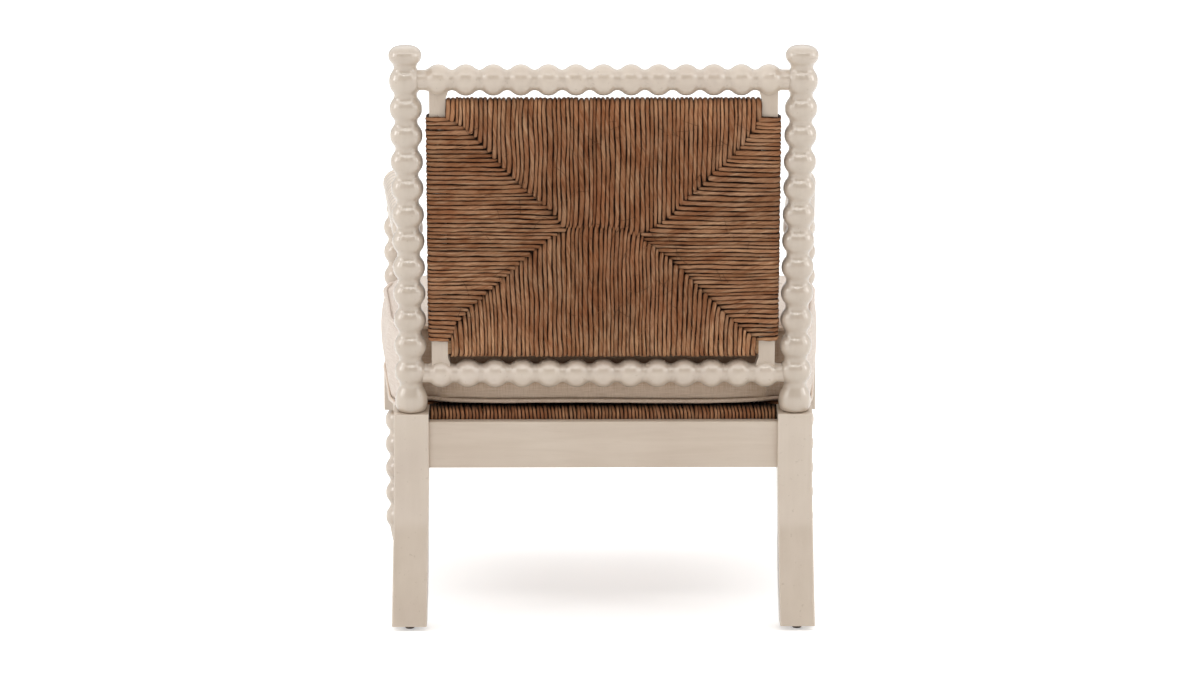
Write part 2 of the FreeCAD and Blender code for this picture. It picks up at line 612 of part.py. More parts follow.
def stile(side, label):
    b = body(label, PANEL_AT, RAKE_ROT)
    w, fl, g = D["stile_w"] / 2.0, D["stile_flare"], 0.5
    top = D["top_rail_d"] - MID_D - D["stile_house"]
    low = D["low_rail_d"] - MID_D + D["stile_house"]
    # plan view of the stile in the panel's own plane; it flares towards the rails
    x = D["stile_x"]
    # starting clear of the rush that wraps the hidden bars
    ft, fb = HALF_D + 0.7, -HALF_D - 0.7
    pts = [(x + w, low), (x + w, top), (x - w - fl, top), (x - w - fl, ft + 9.0), (x - w, ft),
           (x - w, fb), (x - w - fl, fb - 9.0), (x - w - fl, low)]
    if side < 0:
        pts = [(-px, py) for px, py in reversed(pts)]
    s = polygon_sketch(b, "XZ_Plane", "outline", pts)
    pad(b, s, "stile", D["stile_t"], "dims.stile_t", midplane=True)
    # mortises of the two hidden bars
    for n, zc in enumerate((BAR_OUT - D["bar_w"] / 2, -BAR_OUT + D["bar_w"] / 2)):
        s = rect_sketch(b, "YZ_Plane", "bar_mortise_%d_plan" % n, 0, zc, 8.3, 12.3,
                        offset=lift(side * (x - w + 12.3)))
        pocket(b, s, "bar_mortise_%d" % n, 40.0, None, reversed_=(side < 0))
    return b


def panel_bar(label, zc):
    b = body(label, PANEL_AT, RAKE_ROT)
    half = D["stile_x"] - D["stile_w"] / 2.0
    s = rect_sketch(b, "XZ_Plane", "outline", 0, zc, 2 * half, D["bar_w"],
                    "2 * dims.stile_x - dims.stile_w", "dims.bar_w")
    pad(b, s, "bar", D["stile_t"], "dims.stile_t", midplane=True)
    s = rect_sketch(b, "XZ_Plane", "tenon_outline", 0, zc, 2 * half + 24.0, 12.0)
    pad(b, s, "tenons", 8.0, None, midplane=True)
    return b


def rush_back(label):
    b = body(label, PANEL_AT, RAKE_ROT)
    w, hh = D["panel_half_w"], HALF_D
    cx = D["stile_x"] - D["stile_w"] / 2.0 - 0.3
    cz = BAR_OUT - D["bar_w"] - 0.3 + 0.0
    pts = [(cx, -hh), (cx, -cz), (w, -cz), (w, cz), (cx, cz), (cx, hh),
           (-cx, hh), (-cx, cz), (-w, cz), (-w, -cz), (-cx, -cz), (-cx, -hh)]
    t = D["stile_t"] + 2 * D["cord_t"]
    s = polygon_sketch(b, "XZ_Plane", "outline", pts)
    pad(b, s, "wrapped_panel", t, "dims.stile_t + 2 * dims.cord_t", midplane=True)
    # the space that the frame and the stuffing fill
    f = rect_sketch(b, "XZ_Plane", "frame_space_outline", 0, 0, 2 * (D["stile_x"] + D["stile_w"] / 2 + 0.05),
                    2 * (BAR_OUT + 0.05), None, None,
                    Placement(Vector(0, 0, -D["stile_t"] / 2 - 0.05), Rotation()))
    pocket(b, f, "frame_space", D["stile_t"] + 0.1, "dims.stile_t + 0.1", True)
    return b


def pads(label, groups, z, t, role, at, rot):
    """Flat stuffing pads, one plain solid each, kept together as one group."""
    made = []
    for n, pts in enumerate(groups):
        w = Part.makePolygon([Vector(p[0], p[1], 0) for p in pts] + [Vector(pts[0][0], pts[0][1], 0)])
        sol = Part.Face(w).extrude(Vector(0, 0, t))
        if role == "XZ":
            sol.rotate(Vector(0, 0, 0), Vector(1, 0, 0), 90)
            sol.translate(Vector(0, t / 2.0, 0))
        else:
            sol.translate(Vector(0, 0, z))
        made.append(sol)
    o = doc.addObject("Part::Feature", label)
    o.Label = label
    o.Shape = Part.makeCompound(made)
    o.Placement = Placement(Vector(at.x, at.y + YO, at.z), rot)
    return o


# ----------------------------------------------------------------- seat rails
def seat_rail(label, pts, tenon_pts, holes):
    """Board from its plan outline, with tenons at both ends and pilot holes.
    holes: (role, cx, cy, offset, length, reversed)."""
    b = body(label)
    s = polygon_sketch(b, "XY_Plane", "plan", pts, lift(D["rail_low_z"]))
    p = pad(b, s, "board", D["rail_top_z"] - D["rail_low_z"], "dims.rail_top_z - dims.rail_low_z")
    f = b.newObject("PartDesign::Fillet", "eased_edges")
    edges = []
    for n, e in enumerate(p.Shape.Edges, 1):
        bb = e.BoundBox
        if bb.ZLength < 0.01 and bb.ZMin > D["rail_top_z"] - 0.5 and max(bb.XLength, bb.YLength) > 100:
            edges.append("Edge%d" % n)
    f.Base = (p, edges)
    f.Radius = D["rail_edge_r"]
    f.setExpression("Radius", "dims.rail_edge_r")
    doc.recompute()
    s = polygon_sketch(b, "XY_Plane", "tenon_plan", tenon_pts, lift(D["tenon_low_z"]))
    pad(b, s, "tenons", D["tenon_h"], "dims.tenon_h")
    for n, (role, cx, cy, off, length, rev) in enumerate(holes):
        s = circle_sketch(b, role, "pilot_%d_circle" % n, cx, cy, D["screw_r"] + 0.02, "dims.screw_r + 0.02",
                          Placement(Vector(0, 0, off), Rotation()))
        pocket(b, s, "pilot_%d" % n, length, None, rev)
    return b


# ------------------------------------------------------------- build the wood
nodes = []
for side, word in SIDES:
    nodes.append(rear_post(side, "rear_post_" + word))
    nodes.append(front_leg(side, "front_leg_" + word))
    nodes.append(arm(side, "arm_" + word))
nodes.append(back_rail("back_top_rail", D["top_rail_d"], "top_crest_r", "top_neck_r", 1))
nodes.append(back_rail("back_bottom_rail", D["low_rail_d"], "low_crest_r", "low_neck_r", -1))
for side, word in SIDES:
    nodes.append(stile(side, "back_stile_" + word))
nodes.append(panel_bar("back_panel_top_bar", BAR_OUT - D["bar_w"] / 2))
nodes.append(panel_bar("back_panel_bottom_bar", -BAR_OUT + D["bar_w"] / 2))
nodes.append(rush_back("rush_back_weave"))

ix, iz = D["stile_x"] - D["stile_w"] / 2 - 0.5, BAR_OUT - D["bar_w"] - 0.5
ridge = ix - iz
e = 0.8
nodes.append(pads("rush_back_stuffing", [
    [(-ix + 2 * e, iz), (ix - 2 * e, iz), (ridge, e), (-ridge, e)],
    [(-ix + 2 * e, -iz), (-ridge, -e), (ridge, -e), (ix - 2 * e, -iz)],
    [(ix, iz - 2 * e), (ix, -iz + 2 * e), (ridge + 2 * e, 0)],
    [(-ix, iz - 2 * e), (-ridge - 2 * e, 0), (-ix, -iz + 2 * e)]],
    0, D["stile_t"] - 0.6, "XZ", PANEL_AT, RAKE_ROT))

# seat rails; x_in and y planes of the joints
H = D["leg_side"] / 2.0
HB = D["block_side"] / 2.0
T = D["rail_t"] / 2.0
TT = D["tenon_t"] / 2.0
ry, fy = D["rear_rail_y"], D["front_rail_y"]
x_leg = D["post_x"] - H
x_tip = x_leg + D["tenon_l"]
SCREW_X, SCREW_FX = 215.0, 250.0
SCREW_Y, SCREW_FY = -70.0, -505.0
SCREW_Z = 277.0
nodes.append(seat_rail(
    "seat_rail_rear", [(-x_leg, ry - T), (x_leg, ry - T), (x_leg, ry + T), (-x_leg, ry + T)],
    [(-x_tip, ry - TT), (x_tip, ry - TT), (x_tip, ry + TT), (-x_tip, ry + TT)],
    [("XZ_Plane", sx * SCREW_X, SCREW_Z, -(ry - T) + 1.0, 13.0 + 1.0, False) for sx in (1, -1)]))
x_blk = D["front_x"] - HB
x_tipf = x_blk + D["tenon_l"]
nodes.append(seat_rail(
    "seat_rail_front", [(-x_blk, fy - T), (x_blk, fy - T), (x_blk, fy + T), (-x_blk, fy + T)],
    [(-x_tipf, fy - TT), (x_tipf, fy - TT), (x_tipf, fy + TT), (-x_tipf, fy + TT)],
    [("XZ_Plane", sx * SCREW_FX, SCREW_Z, -(fy + T) - 1.0, 13.0 + 1.0, True) for sx in (1, -1)]))
y_a, y_b = -H, D["front_y"] + HB
y_at, y_bt = y_a + D["tenon_l"], y_b - D["tenon_l"] + 2.0
for side, word in SIDES:
    def sx_(pts):
        pts = [(side * x, y) for x, y in pts]
        return pts if side > 0 else pts[::-1]
    pts = sx_([(line_x(y_a, T), y_a), (line_x(y_a, -T), y_a), (line_x(y_b, -T), y_b), (line_x(y_b, T), y_b)])
    ten = sx_([(line_x(y_at, TT), y_at), (line_x(y_at, -TT), y_at), (line_x(y_bt, -TT), y_bt), (line_x(y_bt, TT), y_bt)])
    holes = []
    for yy in (SCREW_Y, SCREW_FY):
        holes.append(("YZ_Plane", yy, SCREW_Z, side * (line_x(yy, -T) - 2.0), 14.0, side > 0))
    nodes.append(seat_rail("seat_rail_" + word, pts, ten, holes))

# --------------------------------------------------------------- drop-in seat
G = D["seat_gap"]
CT = 5.0
yr_w, yf_w = ry - T - G, fy + T + G            # rear and front edge of the rush
yr_f, yf_f = yr_w - CT, yf_w + CT              # rear and front edge of the frame
off_w = -T - G
off_f = off_w - CT
BW = D["seat_bar_w"]
nx_r, ny_r = x_leg - 1.7, -H - 1.9             # rear notch of the rush round the leg
nx_f, ny_f = x_blk - 1.7, D["front_y"] + HB + 1.9


def outline(off, yr, yf, grow):
    """Seat plan, left half from the rear to the front, notched for the legs."""
    return [(nx_r - grow, yr), (nx_r - grow, ny_r - grow), (line_x(ny_r - grow, off), ny_r - grow),
            (line_x(ny_f + grow, off), ny_f + grow), (nx_f - grow, ny_f + grow), (nx_f - grow, yf)]


def both(half):
    return half + [(-x, y) for x, y in reversed(half)]


SEAT_SCREWS = [(236.0, -37.5), (277.0, -527.0)]
for side, word in SIDES:
    half = outline(off_f, yr_f, yf_f, CT)
    pts = [(line_x(yr_f, off_f - BW), yr_f)] + half + [(line_x(yf_f, off_f - BW), yf_f)]
    pts = [(side * x, y) for x, y in pts]
    b = body("seat_frame_%s_bar" % word)
    s = polygon_sketch(b, "XY_Plane", "plan", pts if side > 0 else pts[::-1], lift(D["seat_bar_low_z"]))
    pad(b, s, "bar", D["seat_bar_h"], "dims.seat_bar_h")
    for n, yc in enumerate((yr_f - BW / 2, yf_f + BW / 2)):
        xi = line_x(yc, off_f - BW)
        s = polygon_sketch(b, "XY_Plane", "mortise_%d_plan" % n,
                           [(side * (xi - 5), yc - 8.1), (side * (xi + 12.3), yc - 8.1), (side * (xi + 12.3), yc + 8.1),
                            (side * (xi - 5), yc + 8.1)], lift(D["seat_bar_low_z"] + 4.9))
        pocket(b, s, "mortise_%d" % n, 8.2, None, True)
    for n, (sx, sy) in enumerate(SEAT_SCREWS):
        s = circle_sketch(b, "XY_Plane", "pilot_%d_circle" % n, side * sx, sy, D["screw_r"] + 0.02,
                          "dims.screw_r + 0.02", lift(D["seat_bar_low_z"] - 1.0))
        pocket(b, s, "pilot_%d" % n, 12.6, None, True)
    nodes.append(b)
for word, y1, y2 in (("rear", yr_f, yr_f - BW), ("front", yf_f, yf_f + BW)):
    b = body("seat_frame_%s_bar" % word)
    lo, hi = min(y1, y2), max(y1, y2)
    xa, xb = line_x(lo, off_f - BW) - 0.05, line_x(hi, off_f - BW) - 0.05
    s = polygon_sketch(b, "XY_Plane", "plan", [(-xb, hi), (-xa, lo), (xa, lo), (xb, hi)], lift(D["seat_bar_low_z"]))
    pad(b, s, "bar", D["seat_bar_h"], "dims.seat_bar_h")
    yc = (lo + hi) / 2
    xt = line_x(yc, off_f - BW) + 12.0
    s = rect_sketch(b, "XY_Plane", "tenon_plan", 0, yc, 2 * xt, 16.0, None, None, lift(D["seat_bar_low_z"] + 5.0))
    pad(b, s, "tenons", 8.0)
    nodes.append(b)

b = body("rush_seat_weave")
s = polygon_sketch(b, "XY_Plane", "plan", both(outline(off_w, yr_w, yf_w, 0.0)), lift(D["seat_low_z"]))
pad(b, s, "wrapped_seat", D["seat_top_z"] - D["seat_low_z"], "dims.seat_top_z - dims.seat_low_z")
f = b.newObject("PartDesign::Fillet", "rounded_wrap")
edges = []
for n, ed in enumerate(b.Group[-2].Shape.Edges, 1):
    bb = ed.BoundBox
    if bb.ZLength < 0.01 and (bb.XLength > 300 or bb.YLength > 300):
        edges.append("Edge%d" % n)
f.Base = (b.Group[-2], edges)
f.Radius = 4.0
doc.recompute()
s = polygon_sketch(b, "XY_Plane", "frame_space_plan", both(outline(off_f + 0.05, yr_f + 0.05, yf_f - 0.05, CT - 0.05)),
                   lift(D["seat_bar_low_z"] - 0.05))
pocket(b, s, "frame_space", D["seat_bar_h"] + 0.1, "dims.seat_bar_h + 0.1", True)
for n, (sx, sy) in enumerate([(q * x, y) for x, y in SEAT_SCREWS for q in (1, -1)]):
    s = circle_sketch(b, "XY_Plane", "screw_hole_%d_circle" % n, sx, sy, D["screw_r"] + 0.3, "dims.screw_r + 0.3",
                      lift(D["seat_low_z"] - 1.0))
    pocket(b, s, "screw_hole_%d" % n, 7.0, None, True)
nodes.append(b)

g = 1.0
xr, xf = line_x(yr_f - BW, off_f - BW) - g, line_x(yf_f + BW, off_f - BW) - g
yr2, yf2 = yr_f - BW - g, yf_f + BW + g
cy = (yr2 + yf2) / 2
nodes.append(pads("rush_seat_stuffing", [
    [(-xr + 2 * e, yr2), (0, cy + 2 * e), (xr - 2 * e, yr2)],
    [(-xf + 2 * e, yf2), (xf - 2 * e, yf2), (0, cy - 2 * e)],
    [(xr, yr2 - 2 * e), (2 * e, cy), (xf, yf2 + 2 * e)],
    [(-xr, yr2 - 2 * e), (-xf, yf2 + 2 * e), (-2 * e, cy)]],
    D["seat_bar_low_z"] + 0.5, D["seat_bar_h"] - 1.0, "XY", Vector(0, 0, 0), Rotation()))

# -------------------------------------------------------------- corner blocks
# each is notched for the leg, glued and screwed to both rails, and carries a
# seat screw; heads sit in counterbores in the sloping face
yin_r, yin_f = ry - T - 0.1, fy + T + 0.1
PLANS = {
    "rear": [(190.0, yin_r), (x_leg - 3.5, yin_r), (x_leg - 3.5, -H - 3.5), (line_x(-H - 3.5, -T - 0.1), -H - 3.5),
             (line_x(-96.0, -T - 0.1), -96.0)],
    "front": [(224.0, yin_f), (line_x(-478.0, -T - 0.1), -478.0), (line_x(D["front_y"] + HB + 3.5, -T - 0.1), D["front_y"] + HB + 3.5),
              (x_blk - 3.5, D["front_y"] + HB + 3.5), (x_blk - 3.5, yin_f)],
}
screws = []          # (base point of the head's outer face, direction, length)
seat_screws = []
for where in ("front", "rear"):
    for side, word in SIDES:
        label = "corner_block_%s_%s" % (where, word)
        b = body(label)
        pts = [(side * x, y) for x, y in PLANS[where]]
        s = polygon_sketch(b, "XY_Plane", "plan", pts if side < 0 else pts[::-1], lift(D["brace_low_z"]))
        pad(b, s, "block", D["brace_h"], "dims.brace_h")
        cl = D["screw_r"] + 0.15
        hr = D["screw_head_r"] + 0.3
        if where == "rear":
            head_y, sy, dy, wall = -22.0, SCREW_Y, 1, yin_r
            sx = SCREW_X
        else:
            head_y, sy, dy, wall = -548.0, SCREW_FY, -1, yin_f
            sx = SCREW_FX
        # screw into the front or rear rail
        s = circle_sketch(b, "XZ_Plane", "hole_a_circle", side * sx, SCREW_Z, cl, "dims.screw_r + 0.15",
                          Placement(Vector(0, 0, -wall - dy * 1.0), Rotation()))
        pocket(b, s, "hole_a", 60.0, None, dy > 0)
        s = circle_sketch(b, "XZ_Plane", "counterbore_a_circle", side * sx, SCREW_Z, hr, "dims.screw_head_r + 0.3",
                          Placement(Vector(0, 0, -head_y), Rotation()))
        pocket(b, s, "counterbore_a", 60.0, None, dy > 0)
        screws.append((Vector(side * sx, head_y, SCREW_Z), Vector(0, dy, 0), 28.0))
        # screw into the side rail
        head_x = line_x(sy, -T) - 14.0
        s = circle_sketch(b, "YZ_Plane", "hole_b_circle", sy, SCREW_Z, cl, "dims.screw_r + 0.15",
                          Placement(Vector(0, 0, side * (line_x(sy, -T) + 2.0)), Rotation()))
        pocket(b, s, "hole_b", 70.0, None, side < 0)
        s = circle_sketch(b, "YZ_Plane", "counterbore_b_circle", sy, SCREW_Z, hr, "dims.screw_head_r + 0.3",
                          Placement(Vector(0, 0, side * head_x), Rotation()))
        pocket(b, s, "counterbore_b", 60.0, None, side < 0)
        screws.append((Vector(side * head_x, sy, SCREW_Z), Vector(side, 0, 0), 25.0))
        # seat screw, from below
        px, py = SEAT_SCREWS[0 if where == "rear" else 1]
        s = circle_sketch(b, "XY_Plane", "hole_c_circle", side * px, py, cl, "dims.screw_r + 0.15",
                          lift(D["brace_low_z"] - 1.0))
        pocket(b, s, "hole_c", D["brace_h"] + 2.0, None, True)
        s = circle_sketch(b, "XY_Plane", "counterbore_c_circle", side * px, py, hr, "dims.screw_head_r + 0.3",
                          lift(D["brace_low_z"] - 1.0))
        pocket(b, s, "counterbore_c", 7.0, None, True)
        seat_screws.append((Vector(side * px, py, D["brace_low_z"] + 6.0), Vector(0, 0, 1), 40.0))
        nodes.append(b)


# ------------------------------------------------------------------ fasteners
def fastener_group(label, items, r, head_r, head_h):
    """Pan-head screws: a round shank and a head on its bearing plane, one solid each."""
    links = []
    for n, (p, dvec, length) in enumerate(items):
        rot = Rotation(Vector(0, 0, 1), dvec)
        at = Vector(p.x, p.y + YO, p.z)
        sh = doc.addObject("Part::Cylinder", "%s_shank_%d" % (label, n))
        sh.setExpression("Radius", "dims." + r)
        sh.Height = length
        sh.Placement = Placement(at, rot)
        hd = doc.addObject("Part::Cone", "%s_head_%d" % (label, n))
        hd.setExpression("Radius1", "dims.%s - 1.2" % head_r)
        hd.setExpression("Radius2", "dims." + head_r)
        hd.setExpression("Height", "dims." + head_h)
        hd.Placement = Placement(at - dvec * D[head_h], rot)
        fu = doc.addObject("Part::Fuse", "%s_%d" % (label, n))
        fu.Base, fu.Tool = sh, hd
        links.append(fu)
    c = doc.addObject("Part::Compound", label)
    c.Label = label
    c.Links = links
    doc.recompute()
    return c


nodes.append(fastener_group("corner_block_screws", screws, "screw_r", "screw_head_r", "screw_head_h"))
nodes.append(fastener_group("seat_screws", seat_screws, "screw_r", "screw_head_r", "screw_head_h"))

FEET = [(s * (D["post_x"] + D["leg_foot_out"]), D["leg_kick"]) for s in (1, -1)] + \
       [(s * D["front_x"], D["front_y"]) for s in (1, -1)]
gl = []
for n, (x, y) in enumerate(FEET):
    a = doc.addObject("Part::Cylinder", "glide_rim_%d" % n)
    a.setExpression("Radius", "dims.glide_r")
    a.setExpression("Height", "dims.glide_h - 2.5")
    a.Placement = Placement(Vector(x, y + YO, 2.5), Rotation())
    c = doc.addObject("Part::Cone", "glide_dome_%d" % n)
    c.setExpression("Radius1", "dims.glide_face_r")
    c.setExpression("Radius2", "dims.glide_r")
    c.Height = 2.5
    c.Placement = Placement(Vector(x, y + YO, 0), Rotation())
    fu = doc.addObject("Part::Fuse", "glide_%d" % n)
    fu.Base, fu.Tool = a, c
    hole = doc.addObject("Part::Cylinder", "glide_nail_hole_%d" % n)
    hole.setExpression("Radius", "dims.nail_r + 0.05")
    hole.Height = 10.0
    hole.Placement = Placement(Vector(x, y + YO, 3.0), Rotation())
    cut = doc.addObject("Part::Cut", "glide_cut_%d" % n)
    cut.Base, cut.Tool = fu, hole
    gl.append(cut)
c = doc.addObject("Part::Compound", "leg_glides")
c.Links = gl
doc.recompute()
nodes.append(c)
nl = []
for n, (x, y) in enumerate(FEET):
    a = doc.addObject("Part::Cylinder", "glide_nail_%d" % n)
    a.setExpression("Radius", "dims.nail_r")
    a.setExpression("Height", "dims.nail_l")
    a.Placement = Placement(Vector(x, y + YO, 3.1), Rotation())
    nl.append(a)
c = doc.addObject("Part::Compound", "glide_nails")
c.Links = nl
doc.recompute()
nodes.append(c)

# -------------------------------------------------------------------- cushion
# plan of the cover, left half: notched round the rear posts and front legs
CUSH = [(242.5, -21.5), (242.5, -37.0), (line_x(-37.0, 15.5), -37.0), (line_x(-532.5, 15.5), -532.5),
        (287.0, -532.5), (287.0, -592.0)]
CONVEX = [True, False, True, True, False, True]


def rounded_loop(pts, radii):
    """Lines and tangent arcs round a closed polygon; returns sketch pieces."""
    n = len(pts)
    out = []
    ends = []
    for i in range(n):
        a, v, c = pts[i - 1], pts[i], pts[(i + 1) % n]
        u1 = Vector(a[0] - v[0], a[1] - v[1], 0).normalize()
        u2 = Vector(c[0] - v[0], c[1] - v[1], 0).normalize()
        ang = u1.getAngle(u2)
        t = radii[i] / math.tan(ang / 2)
        p1 = Vector(v[0], v[1], 0) + u1 * t
        p2 = Vector(v[0], v[1], 0) + u2 * t
        mid = (u1 + u2).normalize()
        cen = Vector(v[0], v[1], 0) + mid * (radii[i] / math.sin(ang / 2))
        m = cen - mid * radii[i]
        ends.append((p1, m, p2))
    for i in range(n):
        p1, m, p2 = ends[i]
        out.append(("arc", p1, m, p2))
        out.append(("seg", p2, ends[(i + 1) % n][0]))
    return out


def grow_loop(d):
    """The cover's plan moved outward by d, as corner points and radii."""
    half = []
    rad = []
    for i, (x, y) in enumerate(CUSH):
        ox = [d, d, d, d, d, d][i]
        oy = [d, d, d, -d, -d, -d][i]
        if i in (2, 3):
            yy = y + oy
            half.append((line_x(yy, 15.5 + d), yy))
        else:
            half.append((x + ox, y + oy))
        if i == 0:
            rad.append(D["cushion_rear_corner_r"] + d)
        else:
            rad.append(D["cushion_corner_r"] + d if CONVEX[i] else D["cushion_inner_r"] - d)
    pts = half + [(-x, y) for x, y in reversed(half)]
    return pts, rad + rad[::-1]


def loop_sketch(b, name, d_list, z):
    s = sketch(b, "XY_Plane", name, lift(z))
    for d in d_list:
        pts, rad = grow_loop(d)
        ids = []
        for it in rounded_loop(pts, rad):
            if it[0] == "seg":
                ids.append((s.addGeometry(Part.LineSegment(it[1], it[2])), 1, 2))
            else:
                ar = Part.Arc(it[1], it[2], it[3])
                g = s.addGeometry(ar)
                st = s.getPoint(g, 1)
                ids.append((g, 1, 2) if (st - it[1]).Length < 1e-4 else (g, 2, 1))
        chain(s, ids)
    return s


Z1 = D["cushion_low_z"]
Z2 = Z1 + D["cushion_h"]
CL = D["cloth_t"]
for label, z, d_list, t, expr in (
        ("cushion_bottom_panel", Z1, [0.0], CL, "dims.cloth_t"),
        ("cushion_top_panel", Z2 - CL, [0.0], CL, "dims.cloth_t"),
        ("cushion_boxing", Z1 + CL, [0.0, -CL], D["cushion_h"] - 2 * CL, "dims.cushion_h - 2 * dims.cloth_t"),
        ("cushion_foam", Z1 + CL, [-CL - 0.2], D["cushion_h"] - 2 * CL, "dims.cushion_h - 2 * dims.cloth_t")):
    b = body(label)
    s = loop_sketch(b, "plan", d_list, z)
    pad(b, s, "sheet", t, expr)
    nodes.append(b)
for label, z in (("cushion_piping_bottom", Z1 + D["piping_r"] + 0.3), ("cushion_piping_top", Z2 - D["piping_r"] - 0.3)):
    b = body(label)
    r = D["piping_r"]
    s = loop_sketch(b, "route", [r + 0.05], z)
    pts, rad = grow_loop(r + 0.05)
    yp = pts[0][1]
    c = circle_sketch(b, "YZ_Plane", "section", yp, z, r, "dims.piping_r")
    doc.recompute()
    p = b.newObject("PartDesign::AdditivePipe", "piping")
    p.Profile = c
    p.Spine = (s, ["Edge%d" % (n + 1) for n in range(len(s.Shape.Edges))])
    p.Mode = "Standard"
    p.Transition = "Transformed"
    doc.recompute()
    nodes.append(b)
b = body("cushion_zip")
s = rect_sketch(b, "XZ_Plane", "tape_outline", 0, (Z1 + Z2) / 2, D["zip_l"], D["zip_w"], "dims.zip_l", "dims.zip_w",
                Placement(Vector(0, 0, -CUSH[0][1] - 0.05), Rotation()))
pad(b, s, "tape", 1.2, None, True)
s = rect_sketch(b, "XZ_Plane", "slider_outline", D["zip_l"] / 2 - 16.0, (Z1 + Z2) / 2, 12.0, 6.0, None, None,
                Placement(Vector(0, 0, -CUSH[0][1] - 1.0), Rotation()))
pad(b, s, "slider", 1.6, None, True)
nodes.append(b)

# ------------------------------------------------------------- check and write
doc.recompute()
bad = []
for o in doc.Objects:
    if "Invalid" in o.State or "Error" in o.State:
        bad.append("%s: %s" % (o.Name, o.State))
labels = set()
for o in nodes:
    sh = o.Shape
    if sh.isNull() or not sh.isValid():
        bad.append("%s: shape not valid" % o.Label)
    if o.Label in labels:
        bad.append("%s: label used twice" % o.Label)
    labels.add(o.Label)
    if len(sh.Solids) < 1:
        bad.append("%s: no solid" % o.Label)
if bad:
    raise RuntimeError("; ".join(bad))

os.makedirs("parts", exist_ok=True)
total = None
for o in nodes:
    o.Shape.exportStep("parts/%s.step" % o.Label)
    bb = o.Shape.optimalBoundingBox()
    if total is None:
        total = FreeCAD.BoundBox(bb)
    else:
        total.add(bb)
    print("%-26s solids %d  volume %10.0f mm3  box %.1f..%.1f  %.1f..%.1f  %.1f..%.1f" % (
        o.Label, len(o.Shape.Solids), o.Shape.Volume, bb.XMin, bb.XMax, bb.YMin, bb.YMax, bb.ZMin, bb.ZMax))
print("whole chair %.2f..%.2f  %.2f..%.2f  %.2f..%.2f, %d nodes" % (
    total.XMin, total.XMax, total.YMin, total.YMax, total.ZMin, total.ZMax, len(nodes)))
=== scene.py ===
import math
import random

import bpy
import numpy as np
from mathutils import Matrix, Vector
from mathutils.bvhtree import BVHTree
from mathutils.geometry import delaunay_2d_cdt


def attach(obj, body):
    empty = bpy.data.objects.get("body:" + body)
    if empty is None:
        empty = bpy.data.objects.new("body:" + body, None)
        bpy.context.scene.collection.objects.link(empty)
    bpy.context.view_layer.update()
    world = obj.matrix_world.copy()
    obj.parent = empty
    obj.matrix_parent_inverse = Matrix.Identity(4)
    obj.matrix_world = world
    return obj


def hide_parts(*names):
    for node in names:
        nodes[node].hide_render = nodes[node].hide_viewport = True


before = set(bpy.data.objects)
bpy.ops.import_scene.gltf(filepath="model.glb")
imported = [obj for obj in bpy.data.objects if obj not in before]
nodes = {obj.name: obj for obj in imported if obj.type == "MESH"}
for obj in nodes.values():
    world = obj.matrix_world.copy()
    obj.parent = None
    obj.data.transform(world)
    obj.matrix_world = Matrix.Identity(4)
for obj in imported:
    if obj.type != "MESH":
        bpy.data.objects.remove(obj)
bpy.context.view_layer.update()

scene = bpy.context.scene
rng = np.random.default_rng(7)
random.seed(7)

# ------------------------------------------------------------------- numbers
# Metres, in the frame of the solids. YO is the plan's shift to the box centre.
YO = 0.26184
RAKE = math.radians(7.34)
SHOULDER = 0.317
POST_X = 0.2806
MID_D = 0.2748
HALF_T = 0.0155            # half thickness of the rush back
BAND_X, BAND_W = 0.22625, 0.1920     # upright strands: half width, half height
SIDE_X, SIDE_W = 0.2557, 0.1667     # level strands: half width, half height
BACK_O = Vector((0.0, YO + MID_D * math.sin(RAKE), SHOULDER + MID_D * math.cos(RAKE)))
BACK_W = Vector((0.0, math.sin(RAKE), math.cos(RAKE)))
BACK_N = Vector((0.0, math.cos(RAKE), -math.sin(RAKE)))

# -------------------------------------------------------------------- camera
cam_data = bpy.data.cameras.new("photo_camera")
cam_data.sensor_width = 36.0
cam_data.lens = 119.8
cam_data.clip_start = 0.05
cam_data.clip_end = 200.0
cam = bpy.data.objects.new("photo_camera", cam_data)
cam.location = (0.055, 6.0388, 1.288)
cam.rotation_euler = (math.radians(90 - 8.51), 0.0, math.radians(180 - 0.500))
scene.collection.objects.link(cam)
scene.camera = cam


